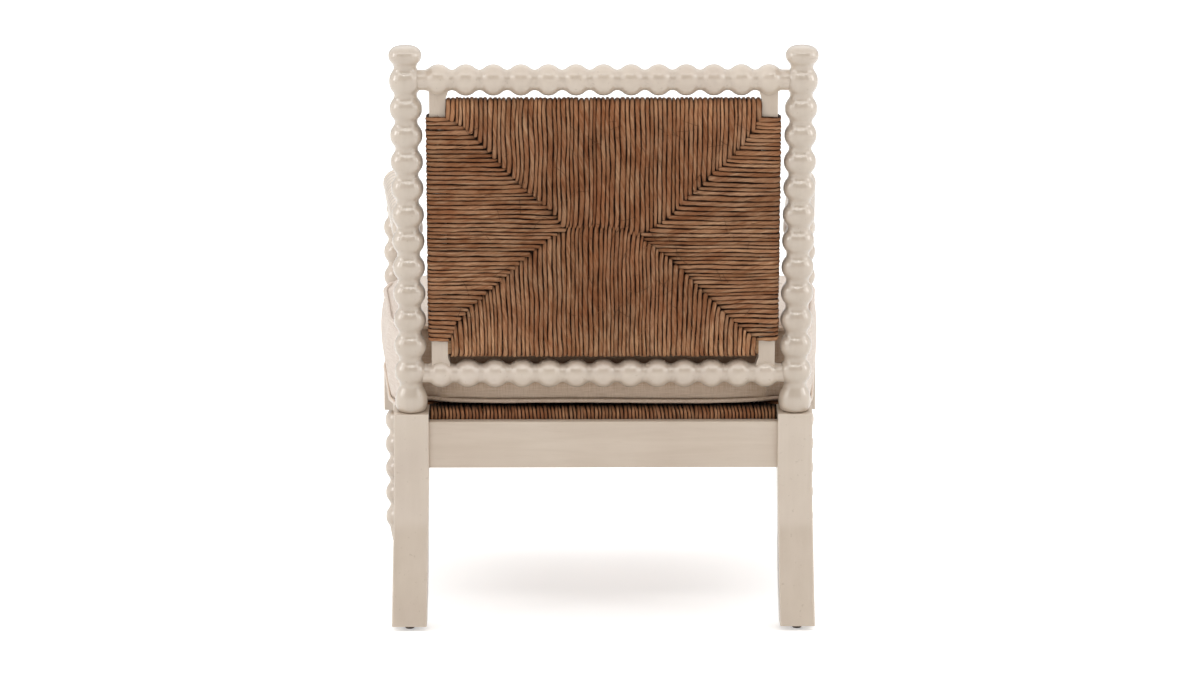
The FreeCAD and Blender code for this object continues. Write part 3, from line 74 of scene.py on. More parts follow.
# ----------------------------------------------------------- node tree helper
class Tree:
    """Short way to write a shader tree."""

    def __init__(self, name):
        self.m = bpy.data.materials.new(name)
        self.m.use_nodes = True
        self.t = self.m.node_tree
        self.t.nodes.clear()
        self.out = self.t.nodes.new("ShaderNodeOutputMaterial")
        self.bsdf = self.n("BsdfPrincipled")
        self.t.links.new(self.bsdf.outputs[0], self.out.inputs[0])

    def n(self, kind, **props):
        node = self.t.nodes.new("ShaderNode" + kind)
        for k, v in props.items():
            setattr(node, k, v)
        return node

    def put(self, socket, value):
        if isinstance(value, bpy.types.NodeSocket):
            self.t.links.new(value, socket)
        elif value is not None:
            socket.default_value = value

    def math(self, op, a, b=None, c=None, clamp=False):
        x = self.n("Math", operation=op, use_clamp=clamp)
        for i, v in enumerate((a, b, c)):
            self.put(x.inputs[i], v)
        return x.outputs[0]

    def vmath(self, op, a, b=None):
        x = self.n("VectorMath", operation=op)
        self.put(x.inputs[0], a)
        if b is not None:
            self.put(x.inputs[1], b)
        return x.outputs[0]

    def scale(self, vec, s):
        return self.vmath("MULTIPLY", vec, s)

    def noise(self, vec, scale, detail=4.0, rough=0.55, dims="3D", w=None, distortion=0.0):
        x = self.n("TexNoise", noise_dimensions=dims)
        if vec is not None and dims != "1D":
            self.put(x.inputs["Vector"], vec)
        if w is not None:
            self.put(x.inputs["W"], w)
        x.inputs["Scale"].default_value = scale
        x.inputs["Detail"].default_value = detail
        x.inputs["Roughness"].default_value = rough
        x.inputs["Distortion"].default_value = distortion
        return x.outputs[0]

    def ramp(self, fac, stops, interpolation="LINEAR"):
        x = self.n("ValToRGB")
        x.color_ramp.interpolation = interpolation
        el = x.color_ramp.elements
        while len(el) < len(stops):
            el.new(0.5)
        for e, (p, c) in zip(el, stops):
            e.position = p
            e.color = (*c, 1.0) if len(c) == 3 else c
        self.put(x.inputs[0], fac)
        return x.outputs[0]

    def map(self, v, a, b, c=0.0, d=1.0, smooth=False):
        x = self.n("MapRange", interpolation_type="SMOOTHSTEP" if smooth else "LINEAR")
        for i, s in enumerate((v, a, b, c, d)):
            self.put(x.inputs[i], s)
        return x.outputs[0]

    def mix(self, fac, a, b, blend="MIX"):
        x = self.n("Mix", data_type="RGBA", blend_type=blend)
        self.put(x.inputs[0], fac)
        self.put(x.inputs[6], a if isinstance(a, bpy.types.NodeSocket) else (*a, 1.0))
        self.put(x.inputs[7], b if isinstance(b, bpy.types.NodeSocket) else (*b, 1.0))
        return x.outputs[2]

    def bump(self, height, strength, distance, normal=None):
        x = self.n("Bump")
        x.inputs["Strength"].default_value = strength
        x.inputs["Distance"].default_value = distance
        self.put(x.inputs["Height"], height)
        if normal is not None:
            self.put(x.inputs["Normal"], normal)
        return x.outputs[0]

    def coords(self, which="Object"):
        return self.n("TexCoord").outputs[which]

    def attr(self, name, kind="GEOMETRY"):
        return self.n("Attribute", attribute_name=name, attribute_type=kind)

    def set(self, **kw):
        for k, v in kw.items():
            self.put(self.bsdf.inputs[k.replace("_", " ")], v)


def srgb(r, g, b):
    f = lambda c: c / 255 / 12.92 if c <= 10.3 else ((c / 255 + 0.055) / 1.055) ** 2.4
    return (f(r), f(g), f(b))


# ----------------------------------------------------------------- materials
def lacquer(name, axis_scale, gloss_above=None):
    """Sprayed cream lacquer over wood. axis_scale stretches the faint grain
    along the part; below gloss_above the finish is satin with brushed grain."""
    t = Tree(name)
    obj = t.coords("Object")
    grain_v = t.scale(obj, axis_scale)
    broad = t.noise(obj, 9.0, 3.0)
    grain = t.noise(grain_v, 1.0, 5.0, 0.62)
    fine = t.noise(grain_v, 3.1, 4.0, 0.6)
    peel = t.noise(obj, 330.0, 2.0)
    base = t.ramp(broad, [(0.30, srgb(191, 176, 161)), (0.52, srgb(197, 183, 167)), (0.74, srgb(202, 188, 174))])
    rubbed = t.map(grain, 0.36, 0.60)
    # painted light: the base is lifted about 8% everywhere except on the post turnings above the shoulder, to suit how
    # these parts are lit
    if gloss_above is None:
        plain = 0.0
        base = t.mix(1.0, base, (1.08, 1.075, 1.07), "MULTIPLY")
    else:
        z = t.n("SeparateXYZ")
        t.put(z.inputs[0], obj)
        plain = t.map(z.outputs[2], gloss_above, gloss_above + 0.004, 1.0, 0.0)
        base = t.mix(plain, base, t.mix(1.0, base, (1.085, 1.08, 1.08), "MULTIPLY"))
    # faint pores and long grain shadows, clearer on the flat, satin parts
    strength = 0.16 if gloss_above is None else t.math("SUBTRACT", 0.16, t.math("MULTIPLY", plain, 0.05))
    dark = t.mix(t.math("MULTIPLY", t.math("SUBTRACT", 1.0, rubbed), strength), base, srgb(172, 152, 132))
    # painted shade: the hollows between beads and turnings darken by ambient occlusion
    ao = t.n("AmbientOcclusion", samples=6, only_local=True)
    ao.inputs["Distance"].default_value = 0.012
    hollow = t.map(ao.outputs["AO"], 0.35, 0.85, 0.55, 0.0)
    color = t.mix(hollow, dark, srgb(158, 136, 112))
    specks = t.map(t.noise(obj, 190.0, 1.0), 0.70, 0.76)
    color = t.mix(t.math("MULTIPLY", specks, 0.25), color, srgb(150, 128, 105))
    t.set(Base_Color=color)
    rough_n = t.map(t.noise(obj, 30.0, 3.0), 0.3, 0.7, 0.0, 0.07)
    if gloss_above is None:
        t.set(Roughness=t.math("ADD", rough_n, 0.30))
    else:
        t.set(Roughness=t.math("ADD", rough_n, t.math("ADD", t.math("MULTIPLY", plain, 0.20), 0.30)))
    t.bsdf.inputs["Coat Weight"].default_value = 1.0
    t.bsdf.inputs["Coat Roughness"].default_value = 0.02
    t.bsdf.inputs["Coat IOR"].default_value = 1.7
    t.bsdf.inputs["Subsurface Weight"].default_value = 0.0
    h = t.math("ADD", t.math("MULTIPLY", peel, 0.35), t.math("MULTIPLY", grain, 0.55))
    h = t.math("ADD", h, t.math("MULTIPLY", fine, 0.25))
    t.set(Normal=t.bump(h, 0.05, 0.0006))
    return t.m


def lacquer_flat(name, axis_scale):
    """Satin cream lacquer on planed boards: the grain telegraphs through."""
    t = Tree(name)
    obj = t.coords("Object")
    v = t.scale(obj, axis_scale)
    broad = t.noise(obj, 7.0, 3.0)
    grain = t.noise(v, 1.0, 6.0, 0.65, distortion=0.6)
    fine = t.noise(v, 3.7, 4.0, 0.6)
    base = t.ramp(broad, [(0.30, srgb(199, 183, 167)), (0.52, srgb(204, 189, 173)), (0.74, srgb(208, 194, 179))])
    shade = t.map(grain, 0.38, 0.62, 0.22, 0.0)
    color = t.mix(shade, base, srgb(178, 159, 140))
    pores = t.map(fine, 0.60, 0.70, 0.0, 0.18)
    color = t.mix(pores, color, srgb(172, 152, 132))
    # painted shade: corners and joints darken by ambient occlusion
    ao = t.n("AmbientOcclusion", samples=6, only_local=False)
    ao.inputs["Distance"].default_value = 0.010
    color = t.mix(t.map(ao.outputs["AO"], 0.3, 0.9, 0.6, 0.0), color, srgb(150, 128, 106))
    t.set(Base_Color=color)
    t.set(Roughness=t.map(fine, 0.3, 0.7, 0.40, 0.52))
    t.bsdf.inputs["Coat Weight"].default_value = 0.25
    t.bsdf.inputs["Coat Roughness"].default_value = 0.28
    h = t.math("ADD", t.math("MULTIPLY", grain, 0.7), t.math("MULTIPLY", fine, 0.3))
    t.set(Normal=t.bump(h, 0.14, 0.0008))
    return t.m


def rush(name, dark=False, gain=1.0, pale_band=None, hollow=0.94):
    """Twisted rush cord. UV.x runs along the cord in metres, UV.y round it;
    the attribute 'tone' is random for each cord, 'shade' holds painted shade at its ends, on wrapped edges, under the
    cushion and on the packing, and darkens some loose fibres.
    pale_band: middle height and reach beyond which the rush is painted paler, as painted light towards its edges."""
    t = Tree(name)
    uv = t.n("UVMap", uv_map="cord").outputs[0]
    sep = t.n("SeparateXYZ")
    t.put(sep.inputs[0], uv)
    tone = t.attr("tone").outputs["Fac"]
    shade = t.attr("shade").outputs["Fac"]
    obj = t.coords("Object")
    # fibres run slightly across the cord because it is twisted
    turn = t.math("ADD", sep.outputs[1], t.math("MULTIPLY", sep.outputs[0], 14.0))
    comb = t.n("CombineXYZ")
    t.put(comb.inputs[0], t.math("MULTIPLY", sep.outputs[0], 26.0))
    t.put(comb.inputs[1], t.math("MULTIPLY", turn, 9.0))
    t.put(comb.inputs[2], t.math("MULTIPLY", tone, 37.0))
    fibres = t.noise(comb.outputs[0], 1.0, 5.0, 0.68)
    comb2 = t.n("CombineXYZ")
    t.put(comb2.inputs[0], t.math("MULTIPLY", sep.outputs[0], 9.0))
    t.put(comb2.inputs[1], t.math("MULTIPLY", turn, 2.0))
    t.put(comb2.inputs[2], t.math("MULTIPLY", tone, 53.0))
    blotch = t.noise(comb2.outputs[0], 1.0, 3.0, 0.6)
    cords = t.ramp(tone, [(0.00, srgb(98, 62, 40)), (0.22, srgb(124, 84, 57)), (0.45, srgb(140, 101, 72)),
                          (0.66, srgb(152, 106, 70)), (0.84, srgb(134, 106, 84)), (1.00, srgb(168, 128, 92))])
    streak = t.ramp(fibres, [(0.30, srgb(52, 30, 18)), (0.43, srgb(112, 76, 52)), (0.56, srgb(158, 116, 81)),
                             (0.72, srgb(202, 168, 132))])
    color = t.mix(0.60, cords, streak)
    patches = t.ramp(blotch, [(0.34, srgb(78, 46, 29)), (0.50, srgb(132, 92, 65)), (0.66, srgb(168, 136, 106))])
    color = t.mix(0.42, color, patches)
    warm = t.map(t.noise(obj, 11.0, 2.0), 0.42, 0.66, 0.0, 0.32)
    color = t.mix(warm, color, srgb(132, 80, 50))
    cloud = t.noise(t.vmath("ADD", obj, (3.0, 1.0, 2.0)), 31.0, 3.0, 0.6)
    color = t.mix(t.map(cloud, 0.50, 0.72, 0.0, 0.42), color, srgb(70, 42, 27))
    color = t.mix(t.map(cloud, 0.48, 0.30, 0.0, 0.25), color, srgb(166, 128, 94))
    gap = t.attr("gap").outputs["Fac"]
    color = t.mix(1.0, color, (1.25 * gain, 1.15 * gain, 1.07 * gain), "MULTIPLY")
    # painted light: the rush is made paler towards the panel's top and bottom edges and its sides
    if pale_band:
        z = t.n("SeparateXYZ")
        t.put(z.inputs[0], obj)
        far = t.math("ABSOLUTE", t.math("SUBTRACT", z.outputs[2], pale_band[0]))
        far = t.map(t.math("ADD", far, t.math("MULTIPLY", t.math("SUBTRACT", cloud, 0.5), 0.05)), pale_band[1], pale_band[2], 0.0, 1.0, True)
        color = t.mix(far, color, t.mix(1.0, color, (1.24, 1.26, 1.24), "MULTIPLY"))
        wide = t.map(t.math("ABSOLUTE", z.outputs[0]), 0.05, 0.19, 0.0, 1.0, True)
        color = t.mix(wide, color, t.mix(1.0, color, (1.16, 1.19, 1.21), "MULTIPLY"))
    deep = t.math("FRACT", t.math("MULTIPLY", tone, 7.3))
    color = t.mix(t.map(deep, 0.0, 1.0, 0.0, 0.34), color, srgb(76, 45, 28))
    # pale strands are greyer, dark ones redder
    bw = t.n("RGBToBW")
    t.put(bw.inputs[0], color)
    pale = t.map(bw.outputs[0], 0.05, 0.17, 0.0, 1.0)
    color = t.mix(1.0, color, t.mix(pale, (1.10, 1.00, 0.83), (0.95, 1.03, 1.14)), "MULTIPLY")
    # painted shade in the crevices between cords, from the 'gap' attribute
    color = t.mix(t.map(t.math("ADD", gap, t.math("MULTIPLY", t.math("SUBTRACT", fibres, 0.5), 0.35)), 0.58, 1.02, 0.0, 0.95, True), color, srgb(40, 14, 2))
    # painted shade at cord ends, wrapped edges and under the cushion, from the 'shade' attribute
    color = t.mix(t.math("MULTIPLY", shade, hollow), color, srgb(22, 8, 2))
    # painted shade: the packing seen between the cords is coloured almost black
    if dark:
        color = t.mix(0.75, color, srgb(36, 22, 13))
    t.set(Base_Color=color)
    t.set(Roughness=t.map(fibres, 0.3, 0.7, 0.74, 0.50))
    t.bsdf.inputs["Specular IOR Level"].default_value = 0.14
    t.set(Normal=t.bump(fibres, 0.55, 0.0009))
    return t.m


def linen(name, panel="cloth", bright=1.0):
    """Plain-weave oatmeal linen with slubs. UV in metres of the cut panel."""
    t = Tree(name)
    uv = t.n("UVMap", uv_map=panel).outputs[0]
    sep = t.n("SeparateXYZ")
    t.put(sep.inputs[0], uv)
    u, v = sep.outputs[0], sep.outputs[1]

    def threads(a, b, seed):
        c = t.n("CombineXYZ")
        t.put(c.inputs[0], t.math("MULTIPLY", a, 1500.0))
        t.put(c.inputs[1], t.math("MULTIPLY", b, 42.0))
        c.inputs[2].default_value = seed
        return t.noise(c.outputs[0], 1.0, 2.0, 0.5)

    warp, weft = threads(u, v, 3.1), threads(v, u, 8.7)
    c = t.n("CombineXYZ")
    t.put(c.inputs[0], t.math("MULTIPLY", u, 620.0))
    t.put(c.inputs[1], t.math("MULTIPLY", v, 16.0))
    slub_a = t.noise(c.outputs[0], 1.0, 3.0, 0.6)
    c = t.n("CombineXYZ")
    t.put(c.inputs[0], t.math("MULTIPLY", u, 16.0))
    t.put(c.inputs[1], t.math("MULTIPLY", v, 620.0))
    c.inputs[2].default_value = 5.0
    slub_b = t.noise(c.outputs[0], 1.0, 3.0, 0.6)
    # over-and-under of single threads, 0.7 mm apart
    sa = t.math("SINE", t.math("MULTIPLY", u, 2 * math.pi / 0.0014))
    sb = t.math("SINE", t.math("MULTIPLY", v, 2 * math.pi / 0.0014))
    weave = t.math("MULTIPLY", sa, sb)
    mixd = t.math("MULTIPLY", t.math("ADD", warp, weft), 0.5)
    k = bright
    base = t.ramp(mixd, [(0.34, srgb(192 * k, 176 * k, 164 * k)), (0.50, srgb(215 * k, 202 * k, 191 * k)),
                         (0.64, srgb(230 * k, 220 * k, 211 * k))])
    slubs = t.math("MAXIMUM", t.map(slub_a, 0.60, 0.74), t.map(slub_b, 0.60, 0.74))
    color = t.mix(t.math("MULTIPLY", slubs, 0.45), base, srgb(193 * k, 177 * k, 162 * k))
    broad = t.noise(t.coords("Object"), 7.0, 3.0)
    color = t.mix(t.map(broad, 0.35, 0.7, 0.0, 0.18), color, srgb(203 * k, 188 * k, 173 * k))
    ao = t.n("AmbientOcclusion", samples=8, only_local=False)
    ao.inputs["Distance"].default_value = 0.060
    # light that comes back from the rush and the wood warms the hollows
    z = t.n("SeparateXYZ")
    t.put(z.inputs[0], t.coords("Object"))
    flank_top = t.math("MULTIPLY", t.map(z.outputs[2], 0.380, 0.412, 0.0, 1.0),
                       t.map(t.math("ABSOLUTE", z.outputs[0]), 0.258, 0.285, 0.0, 1.0))
    under = t.math("SUBTRACT", 1.0, t.math("MULTIPLY", flank_top, 0.85))
    warm = t.math("MULTIPLY", t.map(ao.outputs["AO"], 0.50, 0.86, 0.90, 0.0), under)
    color = t.mix(warm, color, t.mix(1.0, color, (0.97, 0.86, 0.73), "MULTIPLY"))
    # painted shade: cavities of the cover darken to brown by ambient occlusion
    color = t.mix(t.math("MULTIPLY", t.map(ao.outputs["AO"], 0.08, 0.55, 0.82, 0.0), under), color, srgb(94, 68, 48))
    # the rear band lies in the shade between the rush seat and the back's lower rail
    rear = t.map(z.outputs[1], 0.218, 0.236, 0.0, 1.0)
    color = t.mix(rear, color, t.mix(1.0, color, (0.865, 0.835, 0.800), "MULTIPLY"))
    t.set(Base_Color=color)
    t.set(Roughness=t.map(mixd, 0.3, 0.7, 0.94, 0.80))
    t.bsdf.inputs["Specular IOR Level"].default_value = 0.22
    t.bsdf.inputs["Sheen Weight"].default_value = 0.25
    t.bsdf.inputs["Sheen Roughness"].default_value = 0.45
    h = t.math("ADD", t.math("MULTIPLY", weave, 0.25), t.math("ADD", mixd, t.math("MULTIPLY", slubs, 0.8)))
    t.set(Normal=t.bump(h, 0.35, 0.0005))
    return t.m


def bare_wood(name, axis_scale):
    t = Tree(name)
    obj = t.coords("Object")
    v = t.scale(obj, axis_scale)
    grain = t.noise(v, 1.0, 6.0, 0.6, distortion=1.2)
    fine = t.noise(v, 5.0, 3.0)
    color = t.ramp(grain, [(0.30, srgb(118, 84, 54)), (0.5, srgb(150, 113, 77)), (0.72, srgb(174, 139, 101))])
    color = t.mix(t.map(fine, 0.55, 0.7, 0.0, 0.4), color, srgb(96, 64, 40))
    t.set(Base_Color=color, Roughness=t.map(fine, 0.3, 0.7, 0.55, 0.75))
    t.set(Normal=t.bump(grain, 0.25, 0.001))
    return t.m


def plastic(name):
    t = Tree(name)
    obj = t.coords("Object")
    mottle = t.noise(obj, 160.0, 3.0)
    scuff = t.map(t.noise(t.scale(obj, (900.0, 60.0, 900.0)), 1.0, 2.0), 0.60, 0.72)
    color = t.mix(t.math("MULTIPLY", scuff, 0.5), t.ramp(mottle, [(0.3, srgb(62, 48, 38)), (0.7, srgb(92, 74, 60))]),
                  srgb(140, 122, 104))
    t.set(Base_Color=color, Roughness=t.map(mottle, 0.3, 0.7, 0.38, 0.6))
    t.set(Normal=t.bump(mottle, 0.2, 0.0004))
    return t.m


def zinc(name):
    t = Tree(name)
    obj = t.coords("Object")
    n1 = t.noise(obj, 420.0, 3.0)
    t.set(Base_Color=t.ramp(n1, [(0.3, (0.42, 0.40, 0.36)), (0.7, (0.62, 0.60, 0.55))]),
          Roughness=t.map(n1, 0.3, 0.7, 0.28, 0.45))
    t.bsdf.inputs["Metallic"].default_value = 1.0
    t.set(Normal=t.bump(n1, 0.15, 0.0003))
    return t.m


M_POST = lacquer("lacquer_posts", (60.0, 60.0, 5.0), SHOULDER - 0.003)
M_LEG = lacquer("lacquer_front_legs", (60.0, 60.0, 5.0))
M_ARM = lacquer("lacquer_arms", (60.0, 5.0, 60.0))
M_RAIL = lacquer("lacquer_back_rails", (5.0, 60.0, 60.0))
M_FLAT_X = lacquer_flat("lacquer_boards_across", (5.0, 70.0, 70.0))
M_FLAT_Y = lacquer_flat("lacquer_boards_along", (70.0, 5.0, 70.0))
M_FLAT_Z = lacquer_flat("lacquer_stiles", (70.0, 70.0, 5.0))
M_RUSH = rush("rush_cord", pale_band=(BACK_O.z, 0.115, 0.185))
# painted light: the seat's rush is a lighter copy of the back's, lifted against the cushion's shade, with full-strength
# painted shade
M_RUSH_SEAT = rush("rush_cord_seat", gain=1.42, hollow=1.0)
M_RUSH_DARK = rush("rush_shadow", True)
M_LINEN = linen("linen_cover")
M_LINEN_PIPE = linen("linen_piping", bright=1.02)
M_ZIP = linen("zip_tape", bright=0.88)
M_WOOD_X = bare_wood("bare_wood_across", (6.0, 90.0, 90.0))
M_WOOD_Y = bare_wood("bare_wood_along", (90.0, 6.0, 90.0))
M_GLIDE = plastic("glide_plastic")
M_ZINC = zinc("zinc_steel")


def paint(name, mat):
    o = nodes[name]
    o.data.materials.clear()
    o.data.materials.append(mat)


for w in ("left", "right"):
    paint("rear_post_" + w, M_POST)
    paint("front_leg_" + w, M_LEG)
    paint("arm_" + w, M_ARM)
    paint("back_stile_" + w, M_FLAT_Z)
    paint("seat_rail_" + w, M_FLAT_Y)
    paint("seat_frame_%s_bar" % w, M_WOOD_Y)
    for a in ("front", "rear"):
        paint("corner_block_%s_%s" % (a, w), M_WOOD_X)
for a in ("back_top_rail", "back_bottom_rail"):
    paint(a, M_RAIL)
for a in ("seat_rail_rear", "seat_rail_front"):
    paint(a, M_FLAT_X)
for a in ("back_panel_top_bar", "back_panel_bottom_bar", "seat_frame_rear_bar", "seat_frame_front_bar"):
    paint(a, M_WOOD_X)
paint("leg_glides", M_GLIDE)
for a in ("glide_nails", "corner_block_screws", "seat_screws"):
    paint(a, M_ZINC)


# ------------------------------------------------------------- rush, in cords
class Cords:
    """Collects tubes and turns them into one mesh with UV and tone."""

    def __init__(self):
        self.co, self.faces, self.tone, self.shade, self.gap = [], [], [], [], []
        self.count = 0
        self.groove_shade = 1.0               # how wide the painted shade in the grooves beside each cord is

    def tube(self, pts, side_axis, radius, tone, shade=None, sides=10, twist=0.0, ply=0.07, phase=0.0, mat=0,
             flat=1.0, round_ends=True):
        """pts n x 3 centre line; side_axis 3 or n x 3, roughly square to it."""
        p = np.asarray(pts, float)
        n = len(p)
        tan = np.gradient(p, axis=0)
        tan /= np.linalg.norm(tan, axis=1)[:, None] + 1e-12
        b = np.broadcast_to(np.asarray(side_axis, float), p.shape).copy()
        b -= (b * tan).sum(1)[:, None] * tan
        b /= np.linalg.norm(b, axis=1)[:, None] + 1e-12
        nrm = np.cross(b, tan)
        step = np.r_[0.0, np.cumsum(np.linalg.norm(np.diff(p, axis=0), axis=1))]
        r = np.broadcast_to(np.asarray(radius, float), (n,)).copy()
        if round_ends:
            for d in (step, step[-1] - step):
                k = np.clip(d / (r * 0.9), 0, 1)
                r = r * np.sqrt(np.clip(1 - (1 - k) ** 2, 0.03, 1))
        th = np.linspace(0, 2 * math.pi, sides, endpoint=False)
        tw = twist * step[:, None] + phase
        shape = 1.0 + ply * np.cos(2 * (th[None, :] + tw)) + 0.35 * ply * np.cos(5 * th[None, :] + 3 * tw)
        cr = r[:, None] * shape
        ring = (p[:, None, :] + (cr * np.cos(th))[:, :, None] * nrm[:, None, :]
                + (cr * np.sin(th) * flat)[:, :, None] * b[:, None, :])
        base = self.count
        self.co.append(ring.reshape(-1, 3))
        self.co.append(p[[0, -1]])
        i = np.arange(n - 1)[:, None] * sides
        j = np.arange(sides)[None, :]
        j2 = (j + 1) % sides
        quad = np.stack([base + i + j, base + i + j2, base + i + sides + j2, base + i + sides + j], -1).reshape(-1, 4)
        uvq = np.stack([np.stack([np.broadcast_to(step[:-1, None], (n - 1, sides)), np.broadcast_to(j / sides, (n - 1, sides))], -1),
                        np.stack([np.broadcast_to(step[:-1, None], (n - 1, sides)), np.broadcast_to((j + 1) / sides, (n - 1, sides))], -1),
                        np.stack([np.broadcast_to(step[1:, None], (n - 1, sides)), np.broadcast_to((j + 1) / sides, (n - 1, sides))], -1),
                        np.stack([np.broadcast_to(step[1:, None], (n - 1, sides)), np.broadcast_to(j / sides, (n - 1, sides))], -1)], 2)
        self.faces.append(("q", quad, uvq.reshape(-1, 2), mat))
        a, z = base + n * sides, base + n * sides + 1
        jj = np.arange(sides)
        cap0 = np.stack([np.full(sides, a), base + (jj + 1) % sides, base + jj], -1)
        last = base + (n - 1) * sides
        cap1 = np.stack([np.full(sides, z), last + jj, last + (jj + 1) % sides], -1)
        for cap, s in ((cap0, step[0]), (cap1, step[-1])):
            u = np.stack([np.full(sides * 3, s), np.tile([0.5, 0.0, 0.1], sides)], -1)
            self.faces.append(("t", cap, u, mat))
        self.count += n * sides + 2
        self.tone.append(np.full(n * sides + 2, tone))
        sh = np.zeros(n) if shade is None else np.asarray(shade, float)
        self.shade.append(np.r_[np.repeat(sh, sides), sh[0], sh[-1]])
        # 'gap' marks the cord's sides, where painted crevice shade goes
        groove_shade = self.groove_shade * (1 + 0.10 * np.sin(61 * step[:, None] + 9 * phase) * np.sign(np.sin(th))[None, :])
        self.gap.append(np.r_[np.clip(np.abs(np.sin(th))[None, :] * groove_shade, 0, 1.3).ravel(), 0.5, 0.5])

    def build(self, name, mats):
        me = bpy.data.meshes.new(name)
        co = np.concatenate(self.co)
        quads = [f for f in self.faces if f[0] == "q"]
        tris = [f for f in self.faces if f[0] == "t"]
        q = np.concatenate([f[1] for f in quads])
        t = np.concatenate([f[1] for f in tris])
        loops = np.concatenate([q.ravel(), t.ravel()])
        starts = np.r_[np.arange(len(q)) * 4, len(q) * 4 + np.arange(len(t)) * 3]
        me.vertices.add(len(co))
        me.vertices.foreach_set("co", co.ravel())
        me.loops.add(len(loops))
        me.loops.foreach_set("vertex_index", loops.astype(np.int32))
        me.polygons.add(len(starts))
        me.polygons.foreach_set("loop_start", starts.astype(np.int32))
        mi = np.concatenate([np.full(len(f[1]), f[3]) for f in quads] + [np.full(len(f[1]), f[3]) for f in tris])
        me.polygons.foreach_set("material_index", mi.astype(np.int32))
        me.update(calc_edges=True)
        uv = me.uv_layers.new(name="cord")
        uv.data.foreach_set("uv", np.concatenate([f[2] for f in quads] + [f[2] for f in tris]).ravel())
        for nm, data in (("tone", self.tone), ("shade", self.shade), ("gap", self.gap)):
            at = me.attributes.new(nm, "FLOAT", "POINT")
            at.data.foreach_set("value", np.concatenate(data).astype(np.float32))
        me.polygons.foreach_set("use_smooth", np.ones(len(starts), bool))
        for m in mats:
            me.materials.append(m)
        me.validate()
        o = bpy.data.objects.new(name, me)
        scene.collection.objects.link(o)
        return o


def wobble(seed, amp):
    """Smooth 2-D field from a few sine waves; returns f(u, v) in metres."""
    r = np.random.default_rng(seed)
    waves = [(r.uniform(10, 60), r.uniform(10, 60), r.uniform(0, 6.28), r.uniform(0.4, 1.0)) for _ in range(7)]
    tot = sum(w[3] for w in waves)

    def f(u, v):
        s = 0.0
        for a, b, c, d in waves:
            s = s + d * np.sin(a * u + b * v + c)
        return amp * s / tot * 2.2
    return f


def resample(pts, step):
    p = np.asarray(pts, float)
    s = np.r_[0.0, np.cumsum(np.linalg.norm(np.diff(p, axis=0), axis=1))]
    n = max(4, int(round(s[-1] / step)) + 1)
    t = np.linspace(0, s[-1], n)
    return np.stack([np.interp(t, s, p[:, i]) for i in range(3)], -1), t, s[-1]


def arc_pts(c, r, a0, a1, n=6):
    a = np.linspace(a0, a1, n)
    return [(c[0] + r * math.cos(x), c[1] + r * math.sin(x)) for x in a]


